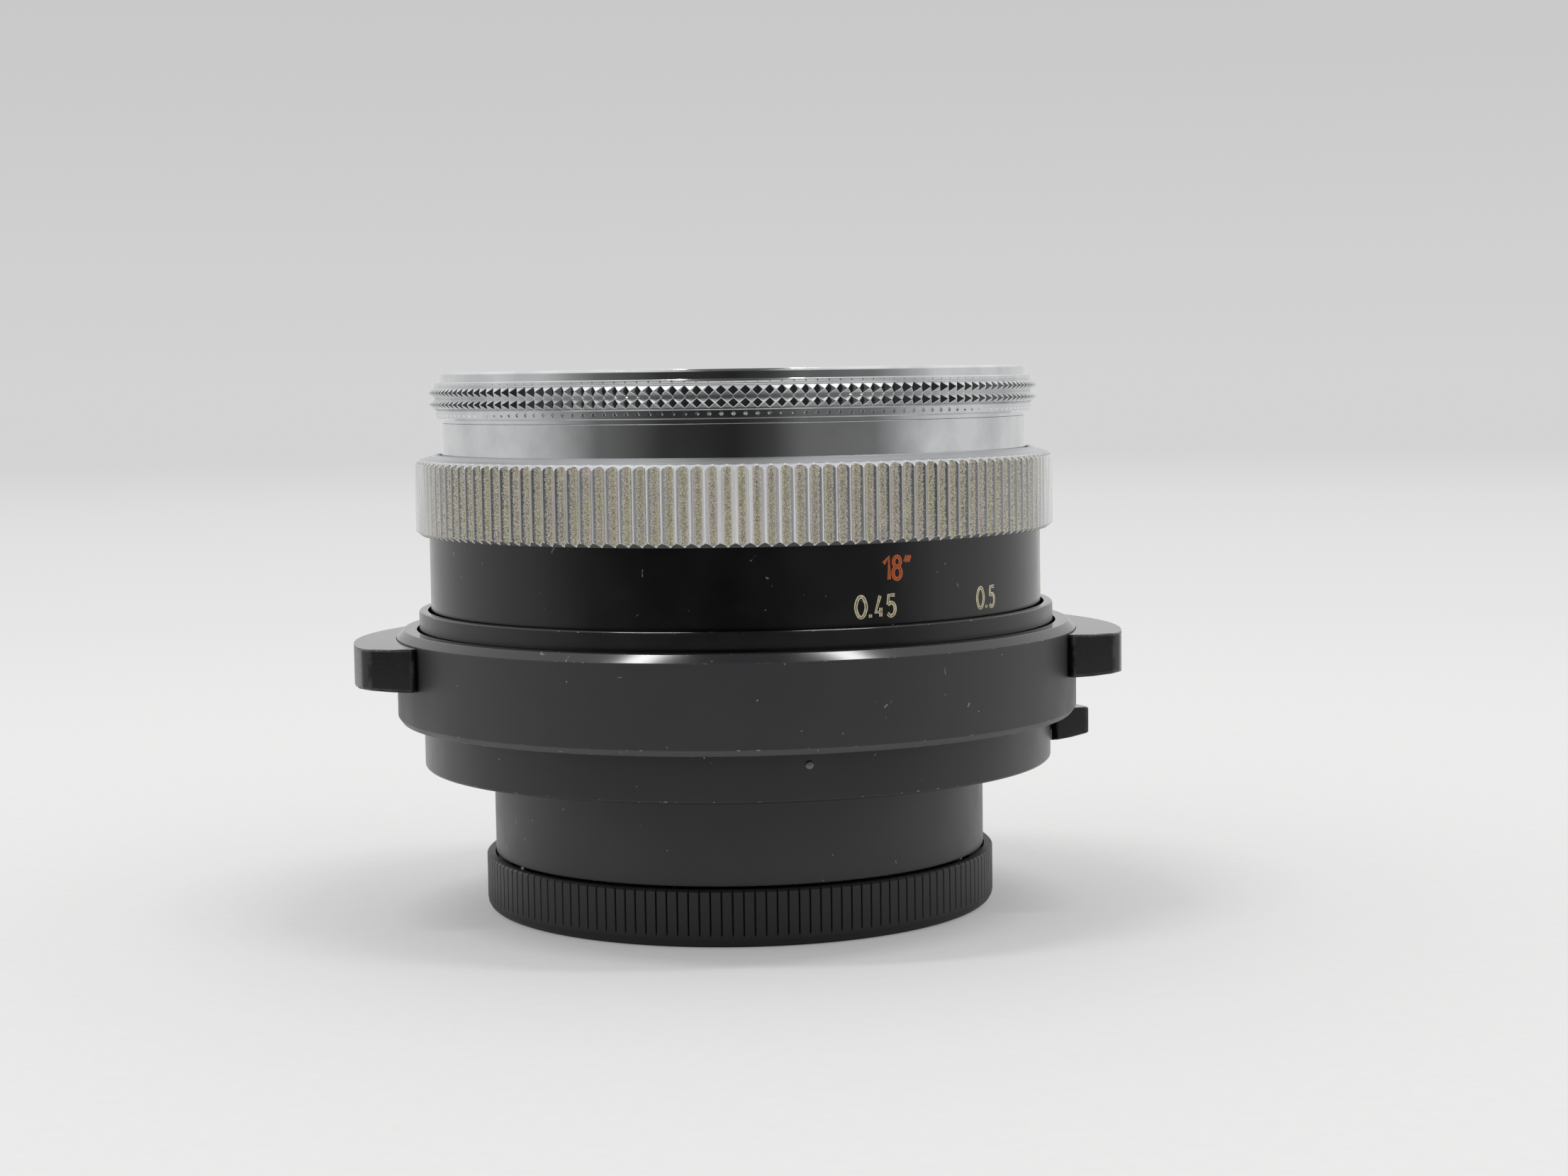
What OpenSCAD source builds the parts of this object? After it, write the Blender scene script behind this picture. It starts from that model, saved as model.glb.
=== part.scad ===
// Focusing photographic lens, standing front up on its rear cap.
// Millimetres. +Z runs along the optical axis towards the front, and -Y faces the viewer.
// The origin is the centre of the cap's underside.

/* [Rear cap] */
// Height of the rear cap
cap_h = 5.03; // [4.5:0.01:7]
// Thickness of the cap's wall outside its thread
cap_wall = 2.45; // [2:0.05:3.5]
// Thickness of the cap's floor
cap_floor = 1.2; // [0.8:0.1:2]
// Number of ribs round the cap
cap_ribs = 155; // [120:1:180]
// Depth of the grooves between the ribs
cap_rib_depth = 0.3; // [0.15:0.05:0.5]
// Radius of the cap's bottom edge
cap_edge = 0.9; // [0.3:0.1:1.5]

/* [Rear tube and screw mount] */
// Outer diameter of the rear screw threads
thread_d = 42; // [40:0.5:46]
// Length of each rear screw thread
thread_len = 3.6; // [2.5:0.1:4]
// Height of the rear tube
tube_h = 8.08; // [6.5:0.01:12]
// Width of the tube's shoulder outside its thread
tube_shoulder = 1.7; // [1:0.1:3]
// Wall under the screw threads
mount_wall = 1.1; // [0.8:0.1:1.5]
// Thickness of the mount's inner flange
mount_flange_t = 0.9; // [0.6:0.1:1.2]

/* [Lower ring and lever] */
// Height of the lower ring
housing_h = 4.12; // [3.8:0.01:6]
// Thickness of the lower ring's floor
housing_floor = 1.22; // [1:0.01:1.6]
// Thickness of the lower ring's wall
housing_wall = 1.45; // [1.2:0.05:2.5]
// Thickness of the ring that carries the lever
lever_ring_wall = 0.75; // [0.5:0.05:1.5]
// How far the lever stands out from the lower ring
lever_reach = 4; // [2:0.1:6]
// Height of the lever
lever_h = 3.1; // [2.4:0.1:3.6]
// Travel of the lever, in degrees
lever_travel = 18; // [5:1:30]

/* [Aperture ring] */
// Height of the aperture ring
ring_h = 8.4; // [7:0.1:12]
// Thickness of the aperture ring's wall
ring_wall = 1.9; // [1.5:0.1:4]
// Thickness of the aperture ring's inner web
ring_web = 1.15; // [1:0.05:2]
// Bevel along the ring's upper edge
ring_bevel = 0.7; // [0.2:0.1:1.2]
// Turn of the ring from fully open to fully closed, in degrees
ring_travel = 48; // [30:1:50]
// How far the lugs stand out from the ring
lug_reach = 4.2; // [2:0.1:7]
// Height of the lugs
lug_h = 3.9; // [2:0.1:4]
// Height of the lugs' undersides above the ring's underside
lug_rise = 3.7; // [0.5:0.05:3.75]
// Turn of the two lugs from an even stance, in degrees
lug_turn = 3.5; // [-10:0.1:10]

/* [Distance scale] */
// Thickness of the distance ring's wall
scale_wall = 1.15; // [0.9:0.05:2]
// Height of the distance ring that shows above its collar
scale_show = 6.84; // [4.5:0.02:10]
// Thickness of the fixed collar's wall
collar_wall = 0.8; // [0.6:0.05:1.5]
// How far the collar stands above the aperture ring
collar_rise = 1.7; // [0.5:0.1:4]

/* [Focus grip] */
// Height of the fluted grip
grip_h = 7.36; // [6.5:0.02:12]
// Thickness of the grip outside the distance ring
grip_skirt = 1.15; // [1:0.05:2]
// Number of flutes round the grip
flutes = 152; // [100:2:180]
// Depth of the flutes
flute_depth = 0.7; // [0.2:0.05:0.8]
// Height of the grip's sloping top
grip_slope = 0.75; // [0.2:0.05:1.2]
// Height of the bevel under the grip's flutes
grip_bevel = 0.45; // [0.1:0.05:0.8]

/* [Focusing movement] */
// Wall of the brass helicoid
helicoid_wall = 2.3; // [1.8:0.1:3.5]
// Wall of the fixed barrel
barrel_wall = 2.35; // [1.8:0.05:3.5]
// Travel of the lens block from infinity to where it stands
focus_in = 1.54; // [0.5:0.02:3]
// Travel of the lens block from where it stands to the nearest distance
focus_out = 5.75; // [3:0.05:6]

/* [Front] */
// Diameter of the filter ring's bore, at the crests of its thread
filter_d = 51.2; // [46:0.2:58]
// Wall of the front barrel outside that bore
filter_wall = 1.3; // [0.9:0.05:2.5]
// Height of the plain bright band
band_show = 2.85; // [1.5:0.05:6]
// Thickness of the grip round the front barrel
grip_wall = 2.15; // [1.8:0.05:3]
// Height of the knurled band
knurl_h = 3.58; // [2.5:0.02:6]
// How far the knurl stands out from the plain lip
knurl_rise = 1; // [0.5:0.1:2]
// Number of knurled rows
knurl_rows = 3; // [2:1:5]
// Height of the plain lip
lip_h = 0.96; // [0.5:0.02:2]

/* [Iris and glass] */
// Number of iris blades
blades = 6; // [5:1:6]
// Diameter of the fully open iris
stop_d = 18.2; // [14:0.2:19]
// Diameter of the iris where it stands
stop_now_d = 9; // [6:0.2:12]
// Diameter of the iris when closed
stop_min_d = 2; // [1.6:0.1:4]
// Thickness of one blade
blade_t = 0.12; // [0.08:0.01:0.16]
// Radius of the pins on the blades
blade_pin_r = 0.45; // [0.3:0.05:0.5]
// Radius of curvature of the front glass
front_curve = 19; // [17:0.5:40]
// Radius of curvature of the middle glass
middle_curve = 22; // [16:0.5:40]
// Radius of curvature of the cemented surface in the rear glass
cement_curve = 21; // [18:0.5:40]
// Radius of curvature of the rear glass
rear_curve = 26; // [18:0.5:50]

/* [Fits] */
// Gap between parts that are fixed together
seat_gap = 0.02; // [0.01:0.01:0.05]
// Gap between parts that turn or slide on each other
run_gap = 0.1; // [0.05:0.01:0.15]
// Gap between moving parts that stay clear of each other
clear_gap = 0.15; // [0.1:0.01:0.2]
// Radius of the small screws
screw_r = 0.5; // [0.3:0.05:0.6]

/* [Hidden] */
$fn = 96;

eps = 0.01;
bite = 1;
// Gap between faces that pass each other
face_gap = 0.2;

// Radii, from the rear thread outwards
thread_r = thread_d / 2;
cap_r = thread_r + run_gap + cap_wall;
tube_r = thread_r + tube_shoulder;
mount_bore_r = thread_r - mount_wall;
skirt_gap = 0.4;
skirt_r = mount_bore_r - skirt_gap;
skirt_wall = 1.3;
block_step = 2.2;
block_r = skirt_r + block_step;
block_wall = 2.1;
cavity_r = block_r - block_wall;
block_seat = 1.4;
block_ring_seat_r = block_r - block_seat;
helicoid_in_r = block_r + run_gap;
helicoid_r = helicoid_in_r + helicoid_wall;
barrel_in_r = helicoid_r + clear_gap;
barrel_r = barrel_in_r + barrel_wall;
lever_ring_in_r = barrel_r + run_gap;
lever_ring_r = lever_ring_in_r + lever_ring_wall;
housing_in_r = lever_ring_r + run_gap;
housing_r = housing_in_r + housing_wall;
scale_gap = 0.4;
scale_in_r = barrel_r + scale_gap;
scale_r = scale_in_r + scale_wall;
collar_gap = 0.3;
collar_in_r = scale_r + collar_gap;
collar_r = collar_in_r + collar_wall;
ring_gap = 0.25;
ring_in_r = collar_r + ring_gap;
ring_r = ring_in_r + ring_wall;
ring_web_r = barrel_r + face_gap;
grip_seat = 0.05;
grip_seat_r = scale_r + grip_seat;
filter_r = filter_d / 2;
band_r = filter_r + filter_wall;
band_gap = 0.3;
grip_web_r = helicoid_r + face_gap;
helicoid_step = 1.5;
helicoid_step_r = helicoid_r + helicoid_step;
helicoid_flange_r = scale_in_r - face_gap;
screw_head = 1.8;
focus_screw_step = 0.05;
focus_screw_r = screw_r - focus_screw_step;
focus_screw_at = (helicoid_step_r + helicoid_flange_r) / 2 + focus_screw_step;
focus_head_r = screw_head * (focus_screw_r + seat_gap);
grip_bore_r = max(band_r + band_gap, focus_screw_at + focus_head_r + run_gap);
grip_r = max(grip_seat_r + grip_skirt, grip_bore_r + grip_wall);
filter_ledge = 1.2;
ledge_r = filter_r - filter_ledge;
knurl_r = band_r + knurl_rise;

// Heights, from the cap upwards
cap_gap = 0.17;
cap_rib_share = 0.6;
flute_share = 0.9;
tube_z = cap_h + cap_gap;
housing_z = tube_z + tube_h;
floor_z = housing_z + housing_floor;
housing_top = housing_z + housing_h;
ring_z = housing_top + clear_gap;
web_top = ring_z + ring_web;
ring_top = ring_z + ring_h;
collar_z = web_top + clear_gap;
collar_web = 1.1;
collar_floor = collar_z + collar_web;
collar_top = ring_top + collar_rise;
scale_z = collar_floor + clear_gap + focus_in;
grip_z = collar_top + scale_show;
grip_top = grip_z + grip_h;
grip_recess = 0.96;
grip_web_z = grip_z + grip_recess;
grip_web = 1.5;
grip_web_top = grip_web_z + grip_web;
block_flange_z = grip_web_top + face_gap;
block_flange = 1.3;
block_top = block_flange_z + block_flange;
front_web = 1.2;
front_web_top = block_top + front_web;
band_top = grip_top + band_show;
knurl_top = band_top + knurl_h;
total_h = knurl_top + lip_h;

// Guide pins, and what they leave for the sliding block
guide_r = 1;
guide_rise = 0.6;
guide_margin = 0.46;
guide_gap = 0.04;
guide_z = ring_z + guide_rise;
block_ring_z = guide_z + guide_r + guide_margin + focus_in;
block_ring_t = 1.1;
helicoid_z = block_ring_z + block_ring_t + face_gap;
barrel_clear = 2.6;
barrel_top = grip_web_z - barrel_clear - focus_in;
block_step_z = 0.3;
block_floor_z = block_ring_z + block_step_z;
block_floor_t = 1;
block_floor_top = block_floor_z + block_floor_t;
skirt_z = guide_z - guide_r - focus_out - guide_margin;

// Iris
cam_z = block_floor_top + run_gap;
cam_t = 0.7;
blade_z = cam_z + cam_t + clear_gap;
blade_pitch = blade_t + run_gap;
cover_z = blade_z + blades * blade_pitch + run_gap;
cover_t = 1;
cover_top = cover_z + cover_t;
pivot_inset = 2.7;
pivot_r = cavity_r - pivot_inset;
blade_clear = 1;
blade_out_r = pivot_r - blade_clear;
blade_span_angle = 110;
blade_heel_angle = 9;
drive_offset = 2.6;
pivot_eye_r = 1.2;
drive_eye_r = 1;
eye_trim = 0.1;
open_r = stop_d / 2;
function blade_turn(d) = 2 * asin((open_r - d / 2) / (2 * pivot_r));
turn_now = blade_turn(stop_now_d);
turn_max = blade_turn(stop_min_d);
blade_ratio = turn_max / ring_travel;
open_turn = turn_now / blade_ratio;
close_turn = ring_travel - open_turn;
arm_angle = 90;
rod_r = 0.7;
rod_inset = 4.6;
rod_at = cavity_r - rod_inset;
rod_over = 0.85;
rod_z = ring_z - focus_out - rod_over;
arm_w = 4;
arm_in_r = rod_at - rod_r - clear_gap;

// Glass and cells
boss_gap = 0.3;
boss_r = rod_at - rod_r - boss_gap;
boss_wall = 1.4;
rear_cell_r = boss_r - boss_wall;
boss_h = 4.5;
cell_wall = 2.4;
glass_r = rear_cell_r - cell_wall;
front_glass_step = 0.8;
middle_glass_step = 0.4;
front_glass_r = glass_r + front_glass_step;
middle_glass_r = glass_r - middle_glass_step;
glass_edge = 0.7;
function sag(curve, r) = curve - sqrt(curve * curve - r * r);
front_cell_wall = 2.8;
front_cell_r = front_glass_r + front_cell_wall;
cell_lip = 0.7;
middle_z = cover_top + cell_lip;
middle_centre = 1.3;
middle_dip = 0.5;
middle_edge = 0.05;
spacer_wall = 0.6;
middle_t = middle_centre + sag(middle_curve, middle_glass_r) + middle_dip;
spacer_t = 1.4;
front_z = middle_z + middle_t + spacer_t;
front_vertex = front_z + glass_edge + sag(front_curve, front_glass_r);
front_cell_top = front_vertex + 0.8;
cell_flange_t = 3.1;
cell_ring_t = 1.5;
rear_cell_top = block_floor_z - 0.1;
rear_lip = 1;
rear_z = rear_cell_top - rear_lip;
rear_front_centre = 1.3;
cement_vertex = rear_z - rear_front_centre;
cement_gap = 0.01;
rear_edge_z = cement_vertex - sag(cement_curve, glass_r) - glass_edge;
rear_vertex = rear_edge_z - sag(rear_curve, glass_r);
rear_cell_z = rear_vertex - 0.9;

// Directions, counted anticlockwise from +X
screw_angle = 30;
guide_angle = 0;
pin_angle = -78.4;
detent_angle = 250;
lever_angle = 0;

module tube(r_in, r_out, z0, z1) {
    translate([0, 0, z0])
        difference() {
            cylinder(h = z1 - z0, r = r_out);
            translate([0, 0, -bite]) cylinder(h = z1 - z0 + 2 * bite, r = r_in);
        }
}

module disc(r, z0, z1) translate([0, 0, z0]) cylinder(h = z1 - z0, r = r);

module turned(points) rotate_extrude() polygon(points);

// Ball that a glass surface is cut from
module glass_ball(curve) sphere(r = curve, $fn = 300);

// A piece of a ring, centred on an angle
module sector(r_in, r_out, z0, z1, middle, span)
    rotate([0, 0, middle - span / 2])
        rotate_extrude(angle = span)
            translate([r_in, z0]) square([r_out - r_in, z1 - z0]);

module radial(r, r0, r1, angle, z)
    rotate([0, 0, angle]) translate([r0, 0, z]) rotate([0, 90, 0]) cylinder(h = r1 - r0, r = r);

module around(count, first = 0)
    for (i = [0:count - 1]) rotate([0, 0, first + 360 * i / count]) children();

// A prism with grooves all round: flat tips, and a share of each pitch cut away as a V
module grooved(count, tip_r, root_r, groove, z0, z1)
    translate([0, 0, z0])
        linear_extrude(z1 - z0)
            polygon([for (i = [0:count - 1], k = [-0.5, 0, 0.5])
                let (a = 360 * (i + k * groove) / count, r = k == 0 ? root_r : tip_r)
                    [r * cos(a), r * sin(a)]]);

// Upright screw with a flat head at its top
module screw(r, z0, z1, head = true) {
    disc(r, z0, z1);
    if (head) disc(screw_head * r, z1 - 1.2 * r, z1);
}

module rear_cap() {
    socket_top = cap_h - 0.9;
    color("#1b1b1c") difference() {
        intersection() {
            turned([[0, 0], [cap_r - cap_edge, 0],
                for (a = [-75:15:0]) [cap_r - cap_edge + cap_edge * cos(a), cap_edge + cap_edge * sin(a)],
                [cap_r, cap_h - 0.15], [cap_r - 0.15, cap_h], [0, cap_h]]);
            union() {
                disc(cap_r + bite, -bite, cap_edge);
                grooved(cap_ribs, cap_r + seat_gap, cap_r - cap_rib_depth, cap_rib_share,
                    cap_edge - eps, cap_h + bite);
            }
        }
        disc(thread_r + run_gap, cap_floor, cap_h + bite);
        disc(tube_r + run_gap, socket_top, cap_h + bite);
    }
}

module rear_tube() {
    socket_z = housing_z - thread_len - 0.7;
    color("#161617") turned([
        [mount_bore_r, tube_z - thread_len], [thread_r, tube_z - thread_len], [thread_r, tube_z],
        [tube_r, tube_z], [tube_r, housing_z], [thread_r + run_gap, housing_z],
        [thread_r + run_gap, socket_z], [mount_bore_r, socket_z]]);
}

mount_flange_r = barrel_in_r - face_gap;
mount_screw_at = (thread_r + seat_gap + mount_flange_r) / 2;

module mount_screw_set(gap) {
    around(4, 45) translate([mount_screw_at, 0, 0])
        screw(screw_r + gap, housing_z + 0.3 - gap, floor_z + mount_flange_t + gap);
}

module lens_mount() {
    color("#8f9092") difference() {
        turned([
            [mount_bore_r, housing_z - thread_len - 0.5], [thread_r, housing_z - thread_len - 0.5],
            [thread_r, floor_z], [mount_flange_r, floor_z], [mount_flange_r, floor_z + mount_flange_t],
            [mount_bore_r, floor_z + mount_flange_t]]);
        mount_screw_set(seat_gap);
    }
}

module mount_screws() color("#b9babc") mount_screw_set(0);

barrel_screw_at = (barrel_in_r + barrel_r) / 2;
barrel_screw_len = 3.2;

module barrel_screw_set(gap) {
    around(3, screw_angle) translate([barrel_screw_at, 0, 2 * housing_z + barrel_screw_len])
        mirror([0, 0, 1]) screw(screw_r + gap, housing_z - gap, housing_z + barrel_screw_len + gap);
}

detent_r = 0.5;
detent_at = (housing_in_r + housing_r) / 2;
detent_ball_z = housing_top + clear_gap - 0.05 - detent_r;
detent_hole_z = floor_z + 0.3;
lever_slot_z = floor_z + 0.55;
lever_tab_t = 1.3;
lever_tab_turn = 5;
lever_tab_angle = lever_angle + 5;
locating_pin_z = housing_top - 1;

module rear_housing() {
    color("#1a1a1b") difference() {
        turned([
            [thread_r + seat_gap, housing_z], [housing_r - 0.2, housing_z], [housing_r, housing_z + 0.2],
            [housing_r, housing_top], [housing_in_r, housing_top], [housing_in_r, floor_z],
            [thread_r + seat_gap, floor_z]]);
        mount_screw_set(seat_gap);
        barrel_screw_set(seat_gap);
        rotate([0, 0, detent_angle]) translate([detent_at, 0, 0])
            disc(detent_r + 0.03, detent_hole_z, housing_top + bite);
        sector(housing_in_r - bite, housing_r + bite, lever_slot_z - run_gap,
            lever_slot_z + lever_tab_t + run_gap, lever_tab_angle + lever_travel / 2,
            lever_travel + lever_tab_turn + 2);
        radial(screw_r + seat_gap, housing_in_r - bite, housing_r + bite, pin_angle, locating_pin_z);
    }
}

module locating_pin()
    color("#c9c8c4") radial(screw_r, housing_in_r + 0.1, housing_r - 0.02, pin_angle, locating_pin_z);

module barrel_screws() color("#2b2b2c") barrel_screw_set(0);

module collar_screw_set(gap) {
    for (i = [0:2])
        radial(0.36 + gap, barrel_r - 1.2 - gap, collar_r - 0.1 + gap, screw_angle + 120 * i,
            collar_z + collar_web / 2);
}

window_span = ring_travel + 2 * asin((arm_w / 2 + 0.6) / skirt_r);
window_angle = arm_angle + (close_turn - open_turn) / 2;

module fixed_barrel() {
    color("#3a3a3c") difference() {
        tube(barrel_in_r, barrel_r, floor_z, barrel_top);
        sector(barrel_in_r - bite, barrel_r + bite, ring_z - clear_gap, web_top + clear_gap,
            window_angle, window_span);
        barrel_screw_set(seat_gap);
        collar_screw_set(seat_gap);
        for (side = [0, 180])
            radial(guide_r + seat_gap, barrel_in_r - bite, barrel_r + bite, guide_angle + side, guide_z);
    }
}

module guide_pins()
    color("#b9babc") for (side = [0, 180])
        radial(guide_r, skirt_r - skirt_wall + 0.1, barrel_r - 0.1, guide_angle + side, guide_z);

module scale_collar() {
    color("#151516") difference() {
        turned([
            [barrel_r + seat_gap, collar_z], [collar_r, collar_z], [collar_r, collar_top - 0.15],
            [collar_r - 0.15, collar_top], [collar_in_r, collar_top], [collar_in_r, collar_floor],
            [barrel_r + seat_gap, collar_floor]]);
        collar_screw_set(seat_gap);
    }
}

module collar_screws() color("#b9babc") collar_screw_set(0);

module detent_ball()
    color("#d0d0d0") rotate([0, 0, detent_angle])
        translate([detent_at, 0, detent_ball_z]) sphere(r = detent_r);

// Coil of a compression spring, swept as one closed tube
module coil(mean_r, wire_r, height, turns) {
    steps = 8 * turns;
    sides = 6;
    rings = [for (i = [0:steps])
        let (a = 360 * turns * i / steps, z = wire_r + (height - 2 * wire_r) * i / steps)
            [for (k = [0:sides - 1])
                let (b = 360 * k / sides, r = mean_r + wire_r * cos(b))
                    [r * cos(a), r * sin(a), z + wire_r * sin(b)]]];
    points = [for (ring = rings) each ring];
    faces = concat(
        [[for (k = [0:sides - 1]) k]],
        [for (i = [0:steps - 1], k = [0:sides - 1])
            let (n = (k + 1) % sides, here = i * sides, next = here + sides)
                each [[here + k, next + k, next + n], [here + k, next + n, here + n]]],
        [[for (k = [sides - 1:-1:0]) steps * sides + k]]);
    polyhedron(points, faces);
}

module detent_spring()
    color("#a9a9ab") rotate([0, 0, detent_angle]) translate([detent_at, 0, detent_hole_z + 0.02])
        coil(detent_r - 0.12, 0.08, detent_ball_z - detent_r - detent_hole_z - 0.04, 4);

lever_z = floor_z - 0.4;
lever_gap = 0.4;
lever_in_r = housing_r + lever_gap;
lever_pocket = 1.2;
lever_back_r = 22;
lever_span_angle = 17;
lever_sweep_angle = 5;
rivet_r = 0.4;

module lever_tab(gap)
    sector(lever_ring_in_r, lever_in_r + lever_pocket + gap,
        lever_slot_z - gap, lever_slot_z + lever_tab_t + gap,
        lever_tab_angle, lever_tab_turn + 2 * gap);

module lever_rivet_at(gap)
    rotate([0, 0, lever_tab_angle]) translate([lever_in_r + lever_pocket / 2, 0, 0])
        disc(rivet_r + gap, lever_z + 0.2 - gap, lever_slot_z + lever_tab_t + 0.5 + gap);

module lever_ring() {
    color("#4a4a4c") difference() {
        union() {
            tube(lever_ring_in_r, lever_ring_r, floor_z + clear_gap, housing_top - 0.1);
            difference() {
                lever_tab(0);
                disc(lever_ring_in_r, floor_z, housing_top);
            }
        }
        lever_rivet_at(seat_gap);
    }
}

// Fin seen from the front: a flat leading face, and a round back that runs down onto a circle
module fin(base_r, reach, span, back_r, sweep, first) {
    last = first + span;
    tip = base_r * [cos(first), sin(first)] + reach * [cos(first + sweep), sin(first + sweep)];
    foot = base_r * [cos(last), sin(last)];
    chord = foot - tip;
    out = [chord.y, -chord.x] / norm(chord);
    centre = (tip + foot) / 2 - out * sqrt(back_r * back_r - chord * chord / 4);
    difference() {
        intersection() {
            translate(centre) circle(r = back_r);
            rotate(first) translate([base_r, 0]) rotate(sweep)
                translate([-base_r / 2, 0]) square([base_r / 2 + 2 * reach, base_r]);
        }
        circle(r = base_r);
    }
}

module lever_fin() {
    color("#202021") difference() {
        intersection() {
            translate([0, 0, lever_z])
                linear_extrude(lever_h)
                    fin(lever_in_r, lever_reach - lever_gap, lever_span_angle, lever_back_r,
                        lever_sweep_angle, lever_angle);
            turned([
                [0, lever_z], [lever_in_r + 1, lever_z], [lever_in_r + lever_reach, lever_z + 0.8],
                [lever_in_r + lever_reach, lever_z + lever_h], [0, lever_z + lever_h]]);
        }
        lever_tab(seat_gap);
        lever_rivet_at(seat_gap);
    }
}

module lever_rivet() color("#8f9092") lever_rivet_at(0);

arm_lap = 1.9;
arm_screw_at = ring_web_r + arm_lap / 2;

module arm_screw_set(gap)
    rotate([0, 0, arm_angle]) for (side = [-1.1, 1.1])
        translate([arm_screw_at, side, 0]) disc(0.4 + gap, ring_z + 0.15 - gap, web_top - 0.02 + gap);

module lug_screw_set(gap)
    rotate([0, 0, lug_turn]) for (side = [0, 1]) mirror([side, 0, 0]) for (step = [10, 30])
        radial(lug_screw_r + gap, ring_in_r + lug_screw_sink - gap, ring_r + lug_screw_bite + gap,
            lug_root_angle + step, lug_z + lug_h / 2);

lug_root_angle = -24.4;
lug_span_angle = 50;
lug_back_r = 26;
lug_sweep_angle = 33;
lug_round = 0.6;
lug_droop = 0.3;
lug_screw_bite = 1.3;
lug_screw_r = 0.5;
lug_screw_sink = 0.05;
lug_z = ring_z + lug_rise;

module aperture_ring() {
    color("#141415") difference() {
        turned([
            [ring_web_r, ring_z], [ring_r - 0.35, ring_z], [ring_r, ring_z + 0.45],
            [ring_r, ring_top - ring_bevel], [ring_r - ring_bevel, ring_top],
            [ring_in_r, ring_top], [ring_in_r, web_top], [ring_web_r, web_top]]);
        rotate([0, 0, arm_angle])
            translate([ring_web_r - bite, -arm_w / 2 - seat_gap, ring_z + ring_web / 2])
                cube([arm_lap + bite + seat_gap, arm_w + 2 * seat_gap, ring_web]);
        arm_screw_set(seat_gap);
        lug_screw_set(seat_gap);
    }
}

module lug() {
    outer_r = ring_r + lug_reach + lug_screw_r;
    intersection() {
        translate([0, 0, lug_z])
            linear_extrude(lug_h)
                fin(ring_r + seat_gap, (lug_reach - seat_gap) / cos(lug_sweep_angle), lug_span_angle,
                    lug_back_r, lug_sweep_angle, lug_root_angle);
        turned([
            [0, lug_z], [ring_r, lug_z], [outer_r - lug_round, lug_z + lug_droop],
            [outer_r, lug_z + lug_droop + lug_round], [outer_r, lug_z + lug_h - lug_droop],
            [outer_r - lug_droop, lug_z + lug_h], [0, lug_z + lug_h]]);
    }
}

module lug_right()
    color("#222223") difference() {
        rotate([0, 0, lug_turn]) lug();
        lug_screw_set(seat_gap);
    }

module lug_left()
    color("#222223") difference() {
        rotate([0, 0, lug_turn]) mirror([1, 0, 0]) lug();
        lug_screw_set(seat_gap);
    }

module lug_screws() color("#6f6f72") lug_screw_set(0);

// Fork that reaches in through the barrel's window and straddles the drive rod
module aperture_arm() {
    lap_z = ring_z + ring_web / 2 + seat_gap;
    color("#77777a") difference() {
        rotate([0, 0, arm_angle]) difference() {
            union() {
                translate([arm_in_r, -arm_w / 2, ring_z])
                    cube([ring_web_r - 0.2 - arm_in_r, arm_w, ring_web]);
                translate([arm_in_r, -arm_w / 2, lap_z])
                    cube([ring_web_r + arm_lap - arm_in_r, arm_w, web_top - lap_z]);
            }
            translate([arm_in_r - bite, -rod_r - 0.03, ring_z - bite])
                cube([rod_at + rod_r + 0.3 - arm_in_r + bite, 2 * rod_r + 0.06, ring_web + 2 * bite]);
        }
        arm_screw_set(seat_gap);
    }
}

module arm_screws() color("#b9babc") arm_screw_set(0);

scale_lip = 0.7;

module focus_screw_set(gap)
    around(3, screw_angle) translate([focus_screw_at, 0, 0])
        screw(focus_screw_r + gap, grip_web_z - scale_lip - 0.6 - gap, grip_web_top + gap);

module helicoid_ring() {
    flange_z = grip_web_z - scale_lip - 0.9;
    color("#b08a4a") difference() {
        turned([
            [helicoid_in_r, helicoid_z], [helicoid_r, helicoid_z], [helicoid_r, flange_z],
            [helicoid_flange_r, flange_z], [helicoid_flange_r, grip_web_z - scale_lip],
            [helicoid_step_r, grip_web_z - scale_lip], [helicoid_step_r, grip_web_z],
            [helicoid_r, grip_web_z], [helicoid_r, grip_web_top], [helicoid_in_r, grip_web_top]]);
        focus_screw_set(seat_gap);
    }
}

module distance_scale() {
    color("#171718") difference() {
        turned([
            [scale_in_r, scale_z], [scale_r, scale_z], [scale_r, grip_web_z],
            [helicoid_step_r + seat_gap, grip_web_z], [helicoid_step_r + seat_gap, grip_web_z - scale_lip],
            [scale_in_r, grip_web_z - scale_lip]]);
        focus_screw_set(seat_gap);
    }
}

module focus_grip() {
    flute_z = grip_z + grip_bevel;
    color("#a9a59b") difference() {
        intersection() {
            turned([
                [grip_web_r, grip_web_z], [grip_seat_r, grip_web_z],
                [grip_seat_r, grip_z], [grip_seat_r + grip_seat, grip_z], [grip_r, flute_z],
                [grip_r, grip_top - grip_slope], [grip_bore_r, grip_top],
                [grip_bore_r, grip_web_top], [grip_web_r, grip_web_top]]);
            grooved(flutes, grip_r + seat_gap, grip_r - flute_depth, flute_share,
                grip_z - bite, grip_top + bite);
        }
        focus_screw_set(seat_gap);
    }
}

module focus_screws() color("#b9babc") focus_screw_set(0);

front_screw_at = (cavity_r + helicoid_r) / 2 + 0.85;

module front_screw_set(gap)
    around(3, screw_angle) translate([front_screw_at, 0, 0])
        screw(screw_r + gap, block_flange_z + 0.3 - gap, front_web_top + gap);

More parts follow.
